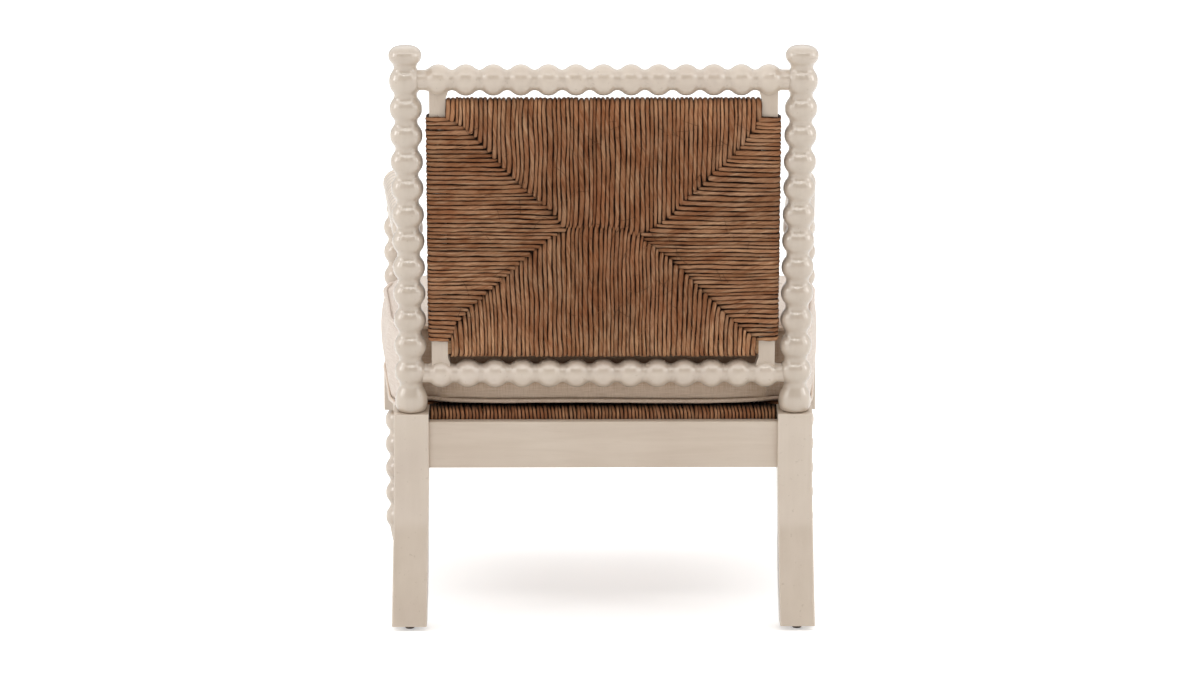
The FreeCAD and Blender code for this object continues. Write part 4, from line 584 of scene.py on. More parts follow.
class Weave:
    """Rush woven round four bars. Local axes: u across, w up (or back), n out
    of the face. Cords run from a mitre on one face over a bar to the same
    mitre on the other face."""

    def __init__(self, name, to_world, half_t, bar_half, r, seed):
        self.c = Cords()
        self.name, self.to_world, self.half_t, self.bar_half, self.r = name, to_world, half_t, bar_half, r
        self.rand = np.random.default_rng(seed)
        self.lat = {1: wobble(seed + 1, 0.0009), -1: wobble(seed + 2, 0.0009)}
        self.edge_shade = 0.45
        self.dep = {1: wobble(seed + 3, 0.00035), -1: wobble(seed + 4, 0.00035)}

    def path(self, edge, end_pos, end_neg, kind, run=None, dive=None):
        """Profile (along, n) from the mitre on the + face over the bar's edge
        to the mitre on the - face."""
        h = self.half_t - self.r
        e = edge - self.r
        cr = 0.0050
        dive = dive or (0.0046 if kind == "v" else 0.0058)
        run = run or (0.0050 if kind == "v" else 0.0090)
        pts = []
        for face, end in ((1, end_pos), (-1, end_neg)):
            leg = []
            a = np.linspace(0, 1, 7)
            for q in a:
                leg.append((end + run * q, face * (h - dive * (1 - math.sin(q * math.pi / 2)) ** 1.3)))
            leg.append((max(end + run + 0.001, e - cr), face * h))
            corner = [(e - cr + cr * math.sin(x), face * (h - cr + cr * math.cos(x)))
                      for x in np.linspace(0, math.pi / 2, 6)[1:]]
            leg += corner
            pts.append(leg)
        return pts[0] + pts[1][::-1]

    def cord(self, kind, sign, pos, edge, end_pos, end_neg, radius, lean=0.0, sides=10, step=0.0045, squeeze=None,
             reach=0.007, taper=None, run=None, under=None, sweep=0.0, tip=None, dive=None):
        """kind 'v': along w at u = pos; 'h': along u at w = pos."""
        prof = self.path(edge - (radius * 1.03 - self.r), end_pos, end_neg, kind, run, dive)
        p3 = [(a, 0.0, n) for a, n in prof]
        p, t, total = resample(p3, step)
        al, n = p[:, 0] * sign, p[:, 2]
        face = np.where(n >= 0, 1, -1)
        u, w = (np.full_like(al, pos), al) if kind == "v" else (al, np.full_like(al, pos))
        lat = np.where(face > 0, self.lat[1](u, w), self.lat[-1](u, w))
        dep = np.where(face > 0, self.dep[1](u, w), self.dep[-1](u, w))
        fade = np.clip(np.abs(n) / (self.half_t - self.r), 0, 1)
        own = self.rand.normal(0, 1, 3)
        k1, k2 = self.rand.uniform(30, 70), self.rand.uniform(80, 160)
        small = (0.00020 * np.sin(k1 * t + own[0] * 3) + 0.00010 * np.sin(k2 * t + own[1] * 3))
        side = lat * fade + small
        # both ends lean towards the corner
        endz = np.minimum(t, total - t)
        side = side + lean * np.exp(-endz / reach)
        if squeeze is not None:
            side = side + squeeze(u, w) * fade
        if sweep:
            side = side + sweep * np.clip((n - 0.001) / 0.011, 0, 1) ** 2
        depth = dep * fade + (0.00045 * np.sin(k1 * 0.7 * t + own[2] * 3) + 0.00030 * own[2] - 0.0004) * fade
        n2 = n + np.sign(n) * depth
        lim = self.half_t - radius * 0.98
        n2 = np.clip(n2, -lim, lim)
        if kind == "v":
            u, w = u + side, w
            axis = (1.0, 0.0, 0.0)
        else:
            u, w = u, w + side
            axis = (0.0, 1.0, 0.0)
        pts = self.to_world(u, w, n2)
        o = self.to_world(np.zeros(1), np.zeros(1), np.zeros(1))[0]
        ax = self.to_world(np.array([axis[0]]), np.array([axis[1]]), np.array([0.0]))[0] - o
        rad = radius * 1.03 * (1 + 0.08 * np.sin(k2 * 0.8 * t + own[2] * 5) + 0.07 * np.sin(k1 * 1.9 * t + own[0]))
        if taper is None:
            taper = (self.rand.uniform(0.15, 0.60), self.rand.uniform(0.005, 0.015)) if kind == "h" else \
                    (self.rand.uniform(-0.12, 0.06), 0.008)
        rad = rad * (1 - taper[0] * np.exp(-(endz / taper[1]) ** 1.5))
        tip = tip or (0.0034 if kind == "v" else self.rand.uniform(0.0042, 0.0100))
        # painted shadow at each cord's tips and, on the back, painted shade where the cord wraps round a bar's edge
        shade = np.exp(-(endz / tip) ** 2)
        shade = np.maximum(shade, self.edge_shade * np.clip(1 - np.abs(n) / (self.half_t * 0.75), 0, 1))
        if under is not None:
            shade = np.maximum(shade, under(u, w, n2))
        tone = float(np.clip(self.rand.beta(1.7, 1.7), 0, 1))
        self.c.tube(pts, ax, rad, tone, shade, sides=sides, twist=self.rand.uniform(120, 210), ply=self.rand.uniform(0.05, 0.11),
                    phase=self.rand.uniform(0, 6.28))

    def wisps(self, count, area, length=(0.008, 0.03)):
        """Fine loose fibres that lie over the cords or stand off the edges."""
        for _ in range(count):
            u, w = area(self.rand)
            face = self.rand.choice((1, -1))
            a = self.rand.uniform(0, math.pi)
            ln = self.rand.uniform(*length)
            s = np.linspace(-0.5, 0.5, 7) * ln
            bend = self.rand.uniform(-25, 25)
            uu = u + s * math.cos(a) - bend * s * s * math.sin(a)
            ww = w + s * math.sin(a) + bend * s * s * math.cos(a)
            nn = face * (self.half_t - 0.0004 + 0.0006 * np.cos(s / ln * math.pi * 2 + self.rand.uniform(-1, 1)))
            nn = np.clip(nn, -self.half_t - 0.0006, self.half_t + 0.0006)
            pts = self.to_world(uu, ww, nn)
            dark = self.rand.random() < 0.7
            self.c.tube(pts, (0.0, 0.3, 1.0), self.rand.uniform(0.00022, 0.00036), 0.1 if dark else 1.0,
                        np.full(7, 0.62 if dark else 0.0), sides=4, ply=0.0)

    def strays(self, ends):
        """Single fibres that stick out of the wrapped edge."""
        for (u, w, n), d, ln in ends:
            s = np.linspace(0, 1, 8)
            curl = self.rand.uniform(-0.35, 0.35)
            uu = u + d[0] * s * ln + curl * ln * s * s * d[1]
            ww = w + d[1] * s * ln - curl * ln * s * s * d[0]
            nn = n + d[2] * s * ln
            pts = self.to_world(uu, ww, nn)
            self.c.tube(pts, (0.1, 0.3, 1.0), 0.00022 * (1 - 0.6 * s), self.rand.uniform(0, 0.4), None, sides=4, ply=0.0)


# ---- back panel
def back_world(u, w, n):
    u, w, n = (np.asarray(x, float)[:, None] for x in (u, w, n))
    return (np.array(BACK_O)[None, :] + u * np.array([1.0, 0, 0])[None, :] + w * np.array(BACK_W)[None, :]
            + n * np.array(BACK_N)[None, :])


back = Weave("rush_back", back_world, HALF_T, 0.010, 0.0031, 11)
back.c.groove_shade = 1.10
NODE_X = 0.0562                     # the mitres meet the middle line here
NV, NH = 70, 52
pv, ph = 2 * BAND_X / NV, 2 * SIDE_W / NH


def fan_back(u, w):
    """The upright cords spread a little towards the panel's lower corners."""
    k = np.clip((-w - 0.02) / 0.16, 0, 1)
    q = np.clip((np.abs(u) - 0.12) / 0.10, 0, 1) * np.clip((0.17 - w) / 0.10, 0, 1) * np.clip((w - 0.03) / 0.05, 0, 1)
    return -u * 0.022 * k * k - np.sign(u) * 0.0030 * q


def spread(count, half, uneven, seed):
    """Places and half widths of cords laid side by side, none quite alike."""
    r = np.random.default_rng(seed)
    wid = np.clip(1 + r.normal(0, uneven, count), 0.72, 1.32)
    wid *= 2 * half / wid.sum()
    edge = np.r_[0.0, np.cumsum(wid)] - half
    return (edge[1:] + edge[:-1]) / 2, wid / 2


NODE_W = {1: 0.0018, -1: -0.0120}         # heights at which the two mitre pairs meet
JOIN_W = {1: 0.0040, -1: -0.0105}
# the four mitres are slightly bent: |u| and the height w of each, by side and half
MITRES = {
    (1, 1): ((0.0562, 0.0680, 0.0800, 0.0950, 0.1150, 0.1350, 0.1550, 0.1750, 0.1950, 0.2150, 0.2263),
             (0.0046, 0.0220, 0.0355, 0.0480, 0.0650, 0.0848, 0.1065, 0.1300, 0.1490, 0.1620, 0.1667)),
    (1, -1): ((0.0562, 0.0650, 0.0750, 0.0950, 0.1150, 0.1350, 0.1550, 0.1750, 0.1950, 0.2150, 0.2263),
              (-0.0010, -0.0035, -0.0085, -0.0245, -0.0424, -0.0602, -0.0798, -0.0975, -0.1155, -0.1400, -0.1667)),
    (-1, 1): ((0.0562, 0.0650, 0.0750, 0.0950, 0.1150, 0.1350, 0.1550, 0.1750, 0.1950, 0.2150, 0.2263),
              (-0.0070, -0.0035, 0.0022, 0.0175, 0.0385, 0.0580, 0.0780, 0.0965, 0.1182, 0.1430, 0.1667)),
    (-1, -1): ((0.0562, 0.0750, 0.0950, 0.1150, 0.1350, 0.1550, 0.1750, 0.1950, 0.2150, 0.2263),
               (-0.0173, -0.0280, -0.0442, -0.0630, -0.0840, -0.1042, -0.1252, -0.1440, -0.1600, -0.1667)),
}


def mitre_w(side, half, u):
    """Height above (half 1) or below (half -1) the middle at which an upright cord ends."""
    us, ws = MITRES[(side, half)]
    return half * float(np.interp(abs(u), us, ws))


def mitre_u(side, w):
    """Distance from the middle at which a level cord ends."""
    half = 1 if w > NODE_W[side] else -1
    us, ws = MITRES[(side, half)]
    return float(np.interp(half * w, [half * x for x in ws], us)), half


def join_line(u):
    """Height of the line in the middle where both rows of tips meet."""
    k = min(max((-u - 0.010) / (NODE_X - 0.010), 0.0), 1.0) ** 2
    return JOIN_W[1] + (JOIN_W[-1] - JOIN_W[1]) * k


for sgn in (1, -1):
    for i, (u, hw) in enumerate(zip(*spread(NV, BAND_X, 0.17, 31 + sgn))):
        side_ = 1 if u > 0 else -1
        if abs(u) > NODE_X:
            # going round the panel, each row of tips in turn lies over the next
            at = u
            for _ in range(3):
                e = mitre_w(side_, sgn, at)
                at = u + float(fan_back(np.array([u]), np.array([sgn * e]))[0]) + float(back.lat[1](u, sgn * e))
            over = side_ * sgn > 0
            e += (-0.0026 if over else -0.0004) + rng.normal(0, 0.0007)
            if over:
                back.cord("v", sgn, u, BAND_W, e, e + rng.normal(0, 0.0005), hw * 1.0,
                          lean=math.copysign(rng.uniform(0.0010, 0.0036), u), squeeze=fan_back, reach=0.0085,
                          taper=(rng.uniform(-0.10, 0.06), 0.006), run=0.0045, tip=rng.uniform(0.0010, 0.0020), dive=0.0030)
            else:
                back.cord("v", sgn, u, BAND_W, e, e + rng.normal(0, 0.0005), hw * 1.0,
                          lean=math.copysign(rng.uniform(0.0000, 0.0018), u), squeeze=fan_back, reach=0.0085,
                          taper=(rng.uniform(0.10, 0.45), rng.uniform(0.006, 0.013)), run=0.0085,
                          tip=rng.uniform(0.0040, 0.0095), dive=0.0062)
        else:
            # along the middle the tips of both rows pass beside each other
            e = sgn * join_line(u) - 0.0066 + rng.normal(0, 0.0012)
            back.cord("v", sgn, u, BAND_W, e, e, hw * 1.0, lean=sgn * rng.uniform(0.0030, 0.0046), squeeze=fan_back,
                      reach=0.0100, taper=(0.60, 0.0100), run=0.0150)
for sgn in (1, -1):
    for w, hw in zip(*spread(NH, SIDE_W, 0.16, 51 + sgn)):
        at = w
        for _ in range(3):
            e, half = mitre_u(sgn, at)
            at = w + float(back.lat[1](sgn * e, w))
        over = sgn * half < 0
        e += (-0.0028 if over else -0.0008) + rng.normal(0, 0.0008)
        if over:
            back.cord("h", sgn, w, SIDE_X, e, e + rng.normal(0, 0.0006), hw * 0.985,
                      lean=math.copysign(rng.uniform(0.0008, 0.0032), half), reach=0.0110,
                      taper=(rng.uniform(-0.06, 0.10), 0.006), run=0.0045, tip=rng.uniform(0.0010, 0.0022), dive=0.0030)
        else:
            back.cord("h", sgn, w, SIDE_X, e, e + rng.normal(0, 0.0006), hw * 0.985,
                      lean=math.copysign(rng.uniform(0.0, 0.0016), half), tip=rng.uniform(0.0045, 0.0105), dive=0.0062)


def back_area(r):
    return r.uniform(-0.22, 0.22), r.uniform(-0.165, 0.165)


back.wisps(240, back_area, (0.008, 0.042))
back.strays([((-SIDE_X + 0.001, 0.108, 0.004), (-0.75, 0.15, 0.2), 0.009),
             ((-SIDE_X + 0.001, -0.082, 0.002), (-0.8, -0.3, 0.1), 0.007),
             ((0.216, BAND_W - 0.001, 0.006), (0.4, 0.5, 0.3), 0.008),
             ((-0.205, -BAND_W + 0.002, 0.004), (-0.5, -0.3, 0.2), 0.006),
             ((0.236, SIDE_W - 0.001, 0.010), (0.5, 0.6, 0.2), 0.008)])


def slab(weave, outline, n_half, tone=0.2, shade=0.75):
    """Closed body of packing between the two faces, set under the cords; its dark colour is painted shade seen through
    the gaps.
    """
    k = len(outline)
    u = np.array([p[0] for p in outline])
    w = np.array([p[1] for p in outline])
    top = weave.to_world(u, w, np.full(k, n_half))
    bot = weave.to_world(u, w, np.full(k, -n_half))
    base = weave.c.count
    weave.c.co += [top, bot]
    side = np.array([[base + i, base + (i + 1) % k, base + k + (i + 1) % k, base + k + i] for i in range(k)])
    side = side[:, ::-1]
    weave.c.faces.append(("q", side, np.tile([[0.0, 0.0], [0.02, 0.0], [0.02, 0.3], [0.0, 0.3]], (k, 1)), 1))
    # fan of quads from the outline: outlines here are symmetric, cut into strips
    weave.c.count += 2 * k
    weave.c.tone.append(np.full(2 * k, tone))
    weave.c.shade.append(np.full(2 * k, shade))
    weave.c.gap.append(np.full(2 * k, 0.9))
    half = k // 2
    strips = []
    for i in range(half - 1):
        a, b, c2, d = i, i + 1, k - 2 - i, k - 1 - i
        strips.append([a, b, c2, d])
    st = np.array(strips)
    weave.c.faces.append(("q", base + st, np.tile([[0.0, 0.0], [0.02, 0.0], [0.02, 0.3], [0.0, 0.3]], (len(st), 1)), 1))
    weave.c.faces.append(("q", base + k + st[:, ::-1], np.tile([[0.0, 0.0], [0.02, 0.0], [0.02, 0.3], [0.0, 0.3]], (len(st), 1)), 1))


bx, bw = 0.2255, 0.1865
sx, sw = 0.2500, 0.1653
# right half from the top down, then the left half back up
slab(back, [(bx, bw), (bx, sw), (sx, sw), (sx, -sw), (bx, -sw), (bx, -bw),
            (-bx, -bw), (-bx, -sw), (-sx, -sw), (-sx, sw), (-bx, sw), (-bx, bw)], 0.0098)
rush_back = back.c.build("rush_back", [M_RUSH, M_RUSH_DARK])
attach(rush_back, "chair")
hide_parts("rush_back_weave", "rush_back_stuffing")

# ---- seat
SEAT_Z = 0.3070
SEAT_T = 0.0145


def seat_world(u, w, n):
    return np.stack([np.asarray(u, float), np.asarray(w, float) + YO, SEAT_Z + np.asarray(n, float)], -1)


def line_x(y, off=0.0):
    s = (0.322 - POST_X) / 0.570
    return POST_X + s * -y + off / math.cos(math.atan(s))


seat = Weave("rush_seat", seat_world, SEAT_T, 0.009, 0.0027, 23)
seat.edge_shade = 0.0
seat.c.groove_shade = 1.28
YR, YF = -0.0070, -0.5630
NXR, NYR, NXF, NYF = 0.2533, -0.0275, 0.2963, -0.5441
# the four mitres run at 45 degrees from the notches and meet on short bridges
ps = 0.00540


MID_Y = (NYR + NYF - NXR + NXF) / 2      # where the rear and front mitres meet


def seat_mid(u, w, n):
    return seat_world(u, np.asarray(w, float) + MID_Y, n)


def painted_cushion_shadow(u, w, n):
    """Painted shadow in the hollow below the cushion's rear edge; it fades down the wrap."""
    y = np.asarray(w, float) + MID_Y
    back_ = np.clip((y + 0.050) / 0.020, 0, 1)
    return 0.995 * back_ * np.clip((np.asarray(n, float) - 0.0066) / 0.0046, 0, 1)


seat.to_world = seat_mid
for sgn, half, edge, notch in ((1, NXR, YR - MID_Y, NYR - MID_Y), (-1, NXF, MID_Y - YF, MID_Y - NYF)):
    for u, hw in zip(*spread(int(round(2 * half / ps)), half, 0.10, 71 + sgn)):
        e = max(notch - (half - abs(u)), 0.0) - 0.0014 + rng.normal(0, 0.0006)
        seat.cord("v", sgn, u, edge, e, e, min(hw, 0.0034), lean=math.copysign(rng.uniform(0.0006, 0.0024), u), sides=8, step=0.0060,
                  under=painted_cushion_shadow if sgn > 0 else None, sweep=rng.uniform(0.0012, 0.0034) if sgn > 0 else 0.0)
seat.to_world = seat_world
half_y = (NYR - NYF) / 2
for sgn in (1, -1):
    for yy, hw in zip(*spread(int(round(2 * half_y / ps)), half_y, 0.09, 91 + sgn)):
        y = yy + (NYR + NYF) / 2
        x_end = NXR - (NYR - y) if y > MID_Y else NXF - (y - NYF)
        e = x_end - 0.002 + rng.normal(0, 0.0007)
        seat.cord("h", sgn, y, line_x(y, -0.0145) - 0.0002, e, e, min(hw, 0.0034) * 0.985,
                  lean=math.copysign(rng.uniform(0.0, 0.0018), y - MID_Y), sides=8, step=0.0075)


def seat_area(r):
    return r.uniform(-0.24, 0.24), r.uniform(-0.54, -0.03)


seat.wisps(60, seat_area)
g = 0.0052
pts = [(NXR - g, YR - g), (NXR - g, NYR - g), (line_x(NYR, -0.0145) - g, NYR - g), (line_x(NYF, -0.0145) - g, NYF + g),
       (NXF - g, NYF + g), (NXF - g, YF + g)]
slab(seat, pts + [(-x, y) for x, y in reversed(pts)], 0.0092)
rush_seat = seat.c.build("rush_seat", [M_RUSH_SEAT, M_RUSH_DARK])
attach(rush_seat, "chair")
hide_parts("rush_seat_weave", "rush_seat_stuffing")

# ------------------------------------------------------------------- cushion
Z1, Z2 = 0.3222, 0.4342
CUSH = [(0.2425, -0.0215), (0.2425, -0.0370), (line_x(-0.0370, 0.0155), -0.0370), (line_x(-0.5325, 0.0155), -0.5325),
        (0.2870, -0.5325), (0.2870, -0.5920)]
CONVEX = [True, False, True, True, False, True]


def loop_corners(d):
    half, rad = [], []
    for i, (x, y) in enumerate(CUSH):
        oy = d if i < 3 else -d
        if i in (2, 3):
            yy = y + oy
            half.append((line_x(yy, 0.0155 + d), yy))
        else:
            half.append((x + d, y + oy))
        r = (0.006 if i == 0 else 0.016) + d if CONVEX[i] else 0.009 - d
        rad.append(max(r, 0.002))
    pts = half + [(-x, y) for x, y in reversed(half)]
    return pts, rad + rad[::-1]


def loop_points(d, step):
    """Points round the cover's plan, evenly spaced, anticlockwise or not."""
    pts, rad = loop_corners(d)
    out = []
    n = len(pts)
    for i in range(n):
        a, v, c = (Vector(pts[i - 1]), Vector(pts[i]), Vector(pts[(i + 1) % n]))
        u1, u2 = (a - v).normalized(), (c - v).normalized()
        ang = u1.angle(u2)
        t = rad[i] / math.tan(ang / 2)
        cen = v + (u1 + u2).normalized() * (rad[i] / math.sin(ang / 2))
        p1, p2 = v + u1 * t, v + u2 * t
        a1 = math.atan2(p1.y - cen.y, p1.x - cen.x)
        a2 = math.atan2(p2.y - cen.y, p2.x - cen.x)
        da = (a2 - a1 + math.pi) % (2 * math.pi) - math.pi
        for q in np.linspace(0, 1, 9):
            out.append((cen.x + rad[i] * math.cos(a1 + da * q), cen.y + rad[i] * math.sin(a1 + da * q)))
    p = np.array(out + [out[0]])
    s = np.r_[0.0, np.cumsum(np.linalg.norm(np.diff(p, axis=0), axis=1))]
    m = int(round(s[-1] / step))
    t = np.linspace(0, s[-1], m, endpoint=False)
    return np.stack([np.interp(t, s, p[:, k]) for k in range(2)], -1)


def inside(poly, q):
    x, y = q[:, 0], q[:, 1]
    r = np.zeros(len(q), bool)
    a = poly
    b = np.roll(poly, -1, 0)
    for (x1, y1), (x2, y2) in zip(a, b):
        hit = ((y1 > y) != (y2 > y)) & (x < (x2 - x1) * (y - y1) / (y2 - y1 + 1e-15) + x1)
        r ^= hit
    return r


def edge_distance(poly, q):
    a = poly
    b = np.roll(poly, -1, 0)
    best = np.full(len(q), 1e9)
    for p1, p2 in zip(a, b):
        d = p2 - p1
        t = np.clip(((q - p1) @ d) / (d @ d), 0, 1)
        best = np.minimum(best, np.linalg.norm(q - (p1 + t[:, None] * d), axis=1))
    return best


STEP = 0.0085
START = -0.0035                       # the cover starts a little small and swells
rim = loop_points(START, STEP)
K = len(rim)
gx = np.arange(-0.34, 0.34, STEP)
gy = np.arange(-0.60, 0.0, STEP * 0.866)
grid = np.array([(x + (STEP / 2 if j % 2 else 0), y) for j, y in enumerate(gy) for x in gx])
grid = grid[inside(rim, grid)]
grid = grid[edge_distance(rim, grid) > STEP * 0.55]
grid = grid + rng.normal(0, STEP * 0.05, grid.shape)
allp = np.concatenate([rim, grid])
cdt = delaunay_2d_cdt([Vector(p) for p in allp], [(i, (i + 1) % K) for i in range(K)], [], 1, 1e-7)
flat_v = np.array([tuple(v) for v in cdt[0]])
flat_f = [tuple(f) for f in cdt[2]]
orig = cdt[3]
pick = {}
for new, olds in enumerate(orig):
    for o_ in olds:
        pick[o_] = new
rim_idx = [pick[i] for i in range(K)]
area2 = sum((flat_v[f[1]][0] - flat_v[f[0]][0]) * (flat_v[f[2]][1] - flat_v[f[0]][1])
            - (flat_v[f[2]][0] - flat_v[f[0]][0]) * (flat_v[f[1]][1] - flat_v[f[0]][1]) for f in flat_f[:50])
if area2 < 0:
    flat_f = [f[::-1] for f in flat_f]
NV2 = len(flat_v)
ROWS = 13
zb, zt = Z1 + 0.0015, Z2 - 0.0015
verts = [(p[0], p[1] + YO, zt) for p in flat_v] + [(p[0], p[1] + YO, zb) for p in flat_v]
mid0 = len(verts)
for rrow in range(1, ROWS):
    z = zt + (zb - zt) * rrow / ROWS
    for i in range(K):
        verts.append((rim[i][0], rim[i][1] + YO, z))
ringi = [[rim_idx[i] for i in range(K)]] + [[mid0 + r_ * K + i for i in range(K)] for r_ in range(ROWS - 1)] + \
        [[NV2 + rim_idx[i] for i in range(K)]]
faces = [tuple(f) for f in flat_f] + [tuple(NV2 + i for i in f[::-1]) for f in flat_f]
panel = ["top"] * len(flat_f) + ["bottom"] * len(flat_f)
ccw = sum(rim[i][0] * rim[(i + 1) % K][1] - rim[(i + 1) % K][0] * rim[i][1] for i in range(K)) > 0
for r_ in range(ROWS):
    for i in range(K):
        j = (i + 1) % K
        q = (ringi[r_][i], ringi[r_ + 1][i], ringi[r_ + 1][j], ringi[r_][j])
        faces.append(q if ccw else q[::-1])
        panel.append("boxing")
me = bpy.data.meshes.new("cushion_cover")
me.from_pydata(verts, [], faces)
me.update()
rest = np.array(verts)
run = np.r_[0.0, np.cumsum(np.linalg.norm(np.diff(np.r_[rim, rim[:1]], axis=0), axis=1))]
uvl = me.uv_layers.new(name="cloth")
uvs = np.zeros((len(me.loops), 2))
ring_of = {}
for r_, row in enumerate(ringi):
    for i, v in enumerate(row):
        ring_of[(r_, v)] = i
base_len = 2 * len(flat_f)
for k, poly in enumerate(me.polygons):
    if k < base_len:
        for li in poly.loop_indices:
            v = rest[me.loops[li].vertex_index]
            uvs[li] = (v[0], v[1])
    else:
        q = k - base_len
        r_, i = divmod(q, K)
        for li in poly.loop_indices:
            vi = me.loops[li].vertex_index
            row = r_ if (r_, vi) in ring_of and vi in ringi[r_] else r_ + 1
            ii = ring_of[(row, vi)]
            s = run[i] if ii == i else run[i + 1]
            uvs[li] = (s, rest[vi][2])
uvl.data.foreach_set("uv", uvs.ravel())
cover = bpy.data.objects.new("cushion_cover", me)
scene.collection.objects.link(cover)

# crown and bulge that the foam gives, before the cloth settles
ed = edge_distance(rim, flat_v)
P = rest.copy()
crown = 0.0075 * (1 - np.exp(-ed / 0.020)) + 0.0045 * (1 - np.exp(-ed / 0.090)) + 0.0015 * np.clip(ed / 0.25, 0, 1)
P[:NV2, 2] += crown
nrm2 = np.zeros((K, 2))
tan2 = np.roll(rim, -1, 0) - np.roll(rim, 1, 0)
nrm2[:, 0], nrm2[:, 1] = tan2[:, 1], -tan2[:, 0]
nrm2 /= np.linalg.norm(nrm2, axis=1)[:, None]
if not ccw:
    nrm2 = -nrm2
turn = np.abs(np.cross(np.roll(rim, -2, 0) - rim, rim - np.roll(rim, 2, 0)))
soft = np.ones(K)
corner = np.linalg.norm(np.roll(rim, -3, 0) + np.roll(rim, 3, 0) - 2 * rim, axis=1) > 0.004
for i in np.nonzero(corner)[0]:
    for d in range(-6, 7):
        soft[(i + d) % K] = min(soft[(i + d) % K], abs(d) / 7)
rear_side = np.clip((nrm2[:, 1] - 0.8) / 0.15, 0, 1) * (rim[:, 1] > -0.03)       # straight rear run
flank = np.clip((np.abs(nrm2[:, 0]) - 0.8) / 0.15, 0, 1) * (np.abs(rim[:, 0]) > 0.27)
for r_ in range(0, ROWS + 1):
    q_ = r_ / ROWS                     # 0 at the top seam, 1 at the bottom one
    f = math.sin(math.pi * q_) ** 0.75
    idx = np.array(ringi[r_])
    belly = 0.0052 + 0.0026 * flank
    out_ = 0.0030 + belly * f * (0.35 + 0.65 * soft) + flank * (0.0105 + 0.0007 * q_) * (0.3 + 0.7 * soft) * np.where(rim[:, 0] > 0, 1.0, 0.74)
    # the filling is pushed a little to the left front
    out_ = out_ + 0.0022 * flank * (rim[:, 0] > 0) * (0.6 + 0.4 * f) * (0.5 + 0.5 * soft)
    # at the rear the belly hangs below the bottom rail of the back
    out_ += rear_side * soft * (0.0052 * q_ ** 2 + 0.0012 * math.sin(math.pi * q_) ** 2)
    P[idx, 0] += nrm2[:, 0] * out_
    P[idx, 1] += nrm2[:, 1] * out_
me.vertices.foreach_set("co", P.astype(np.float32).ravel())
me.update()


def settle(obj, start, cap_up, cap_side):
    """Cloth under the foam's pressure; each point's travel is capped."""
    m = obj.modifiers.new("cloth", "CLOTH")
    s = m.settings
    s.quality = 6
    s.mass = 0.25
    s.tension_stiffness = 25
    s.compression_stiffness = 25
    s.shear_stiffness = 8
    s.bending_stiffness = 1.2
    s.tension_damping = 12
    s.compression_damping = 12
    s.shear_damping = 12
    s.air_damping = 4
    s.use_pressure = True
    s.uniform_pressure_force = 4.0
    s.effector_weights.gravity = 0
    s.shrink_min = -0.012            # a little loose cloth, so it ripples
    m.collision_settings.use_collision = False
    m.collision_settings.use_self_collision = False
    scene.frame_start, scene.frame_end = 1, 24
    m.point_cache.frame_start, m.point_cache.frame_end = 1, 24
    for f_ in range(1, 21):
        scene.frame_set(f_)
    dg = bpy.context.evaluated_depsgraph_get()
    ev = obj.evaluated_get(dg)
    got = np.zeros(len(obj.data.vertices) * 3)
    ev.data.vertices.foreach_get("co", got)
    got = got.reshape(-1, 3)
    obj.modifiers.remove(m)
    scene.frame_set(1)
    d = got - start
    d[:, :2] *= 0.25
    lim = np.where(np.abs(d[:, 2:3]) > 0, 1.0, 1.0)
    size = np.linalg.norm(d, axis=1)
    cap = np.where(start[:, 2] > (Z1 + Z2) / 2, cap_up, cap_side)
    k = np.minimum(1.0, cap * np.tanh(size / cap) / np.maximum(size, 1e-9))
    return start + d * k[:, None] * lim


Q = settle(cover, P, 0.008, 0.006)

# the bottom lies on the rush; outside it the cover hangs a few millimetres
bottom = np.zeros(len(Q), bool)
bottom[NV2:2 * NV2] = True
seat_poly = np.array([(NXR, YR), (NXR, NYR), (line_x(NYR, -0.0145), NYR), (line_x(NYF, -0.0145), NYF), (NXF, NYF), (NXF, YF),
                      (-NXF, YF), (-NXF, NYF), (-line_x(NYF, -0.0145), NYF), (-line_x(NYR, -0.0145), NYR), (-NXR, NYR), (-NXR, YR)])
pq = np.stack([Q[:, 0], Q[:, 1] - YO], -1)
on = inside(seat_poly, pq)
out_d = np.where(on, 0.0, edge_distance(seat_poly, pq))
hang = np.where(np.abs(Q[:, 0]) > 0.262, np.minimum(out_d * 0.50, 0.0125), np.minimum(out_d * 0.22, 0.0060))
floor_z = Z1 + 0.0004 - hang
low = Q[:, 2] < floor_z
Q[low, 2] = floor_z[low]
sag = hang * np.clip((Z1 + 0.050 - Q[:, 2]) / 0.050, 0, 1)
Q[:, 2] -= np.where(low, 0.0, sag)
# the filled cushion rests on its middle; its seam stands a little off the rush
rim_d = edge_distance(rim, np.stack([rest[:, 0], rest[:, 1] - YO], -1))
px = rest[:, 0]
wave_ = 0.0012 + 0.0016 * np.clip((px - 0.15) / 0.10, 0, 1) + 0.0010 * np.clip((-px - 0.18) / 0.08, 0, 1) \
    + 0.0006 * np.sin(px * 17.0 + 0.6)
wave_ = np.where(rest[:, 1] - YO > -0.05, wave_, np.where(np.abs(px) > 0.27, 0.0004, 0.0030))
lift_ = wave_ * np.exp(-(np.minimum(rim_d, 0.2) / 0.040) ** 2)
Q[bottom, 2] = np.maximum(np.minimum(Q[bottom, 2], floor_z[bottom] + 0.0006), floor_z[bottom]) + lift_[bottom]
boxing_k = np.clip((Z1 + 0.035 - rest[:, 2]) / 0.035, 0, 1)
boxing_k[:2 * NV2] = 0.0
Q[:, 2] += boxing_k * wave_
me.vertices.foreach_set("co", Q.astype(np.float32).ravel())
me.polygons.foreach_set("use_smooth", np.ones(len(me.polygons), bool))
me.materials.append(M_LINEN)
me.update()


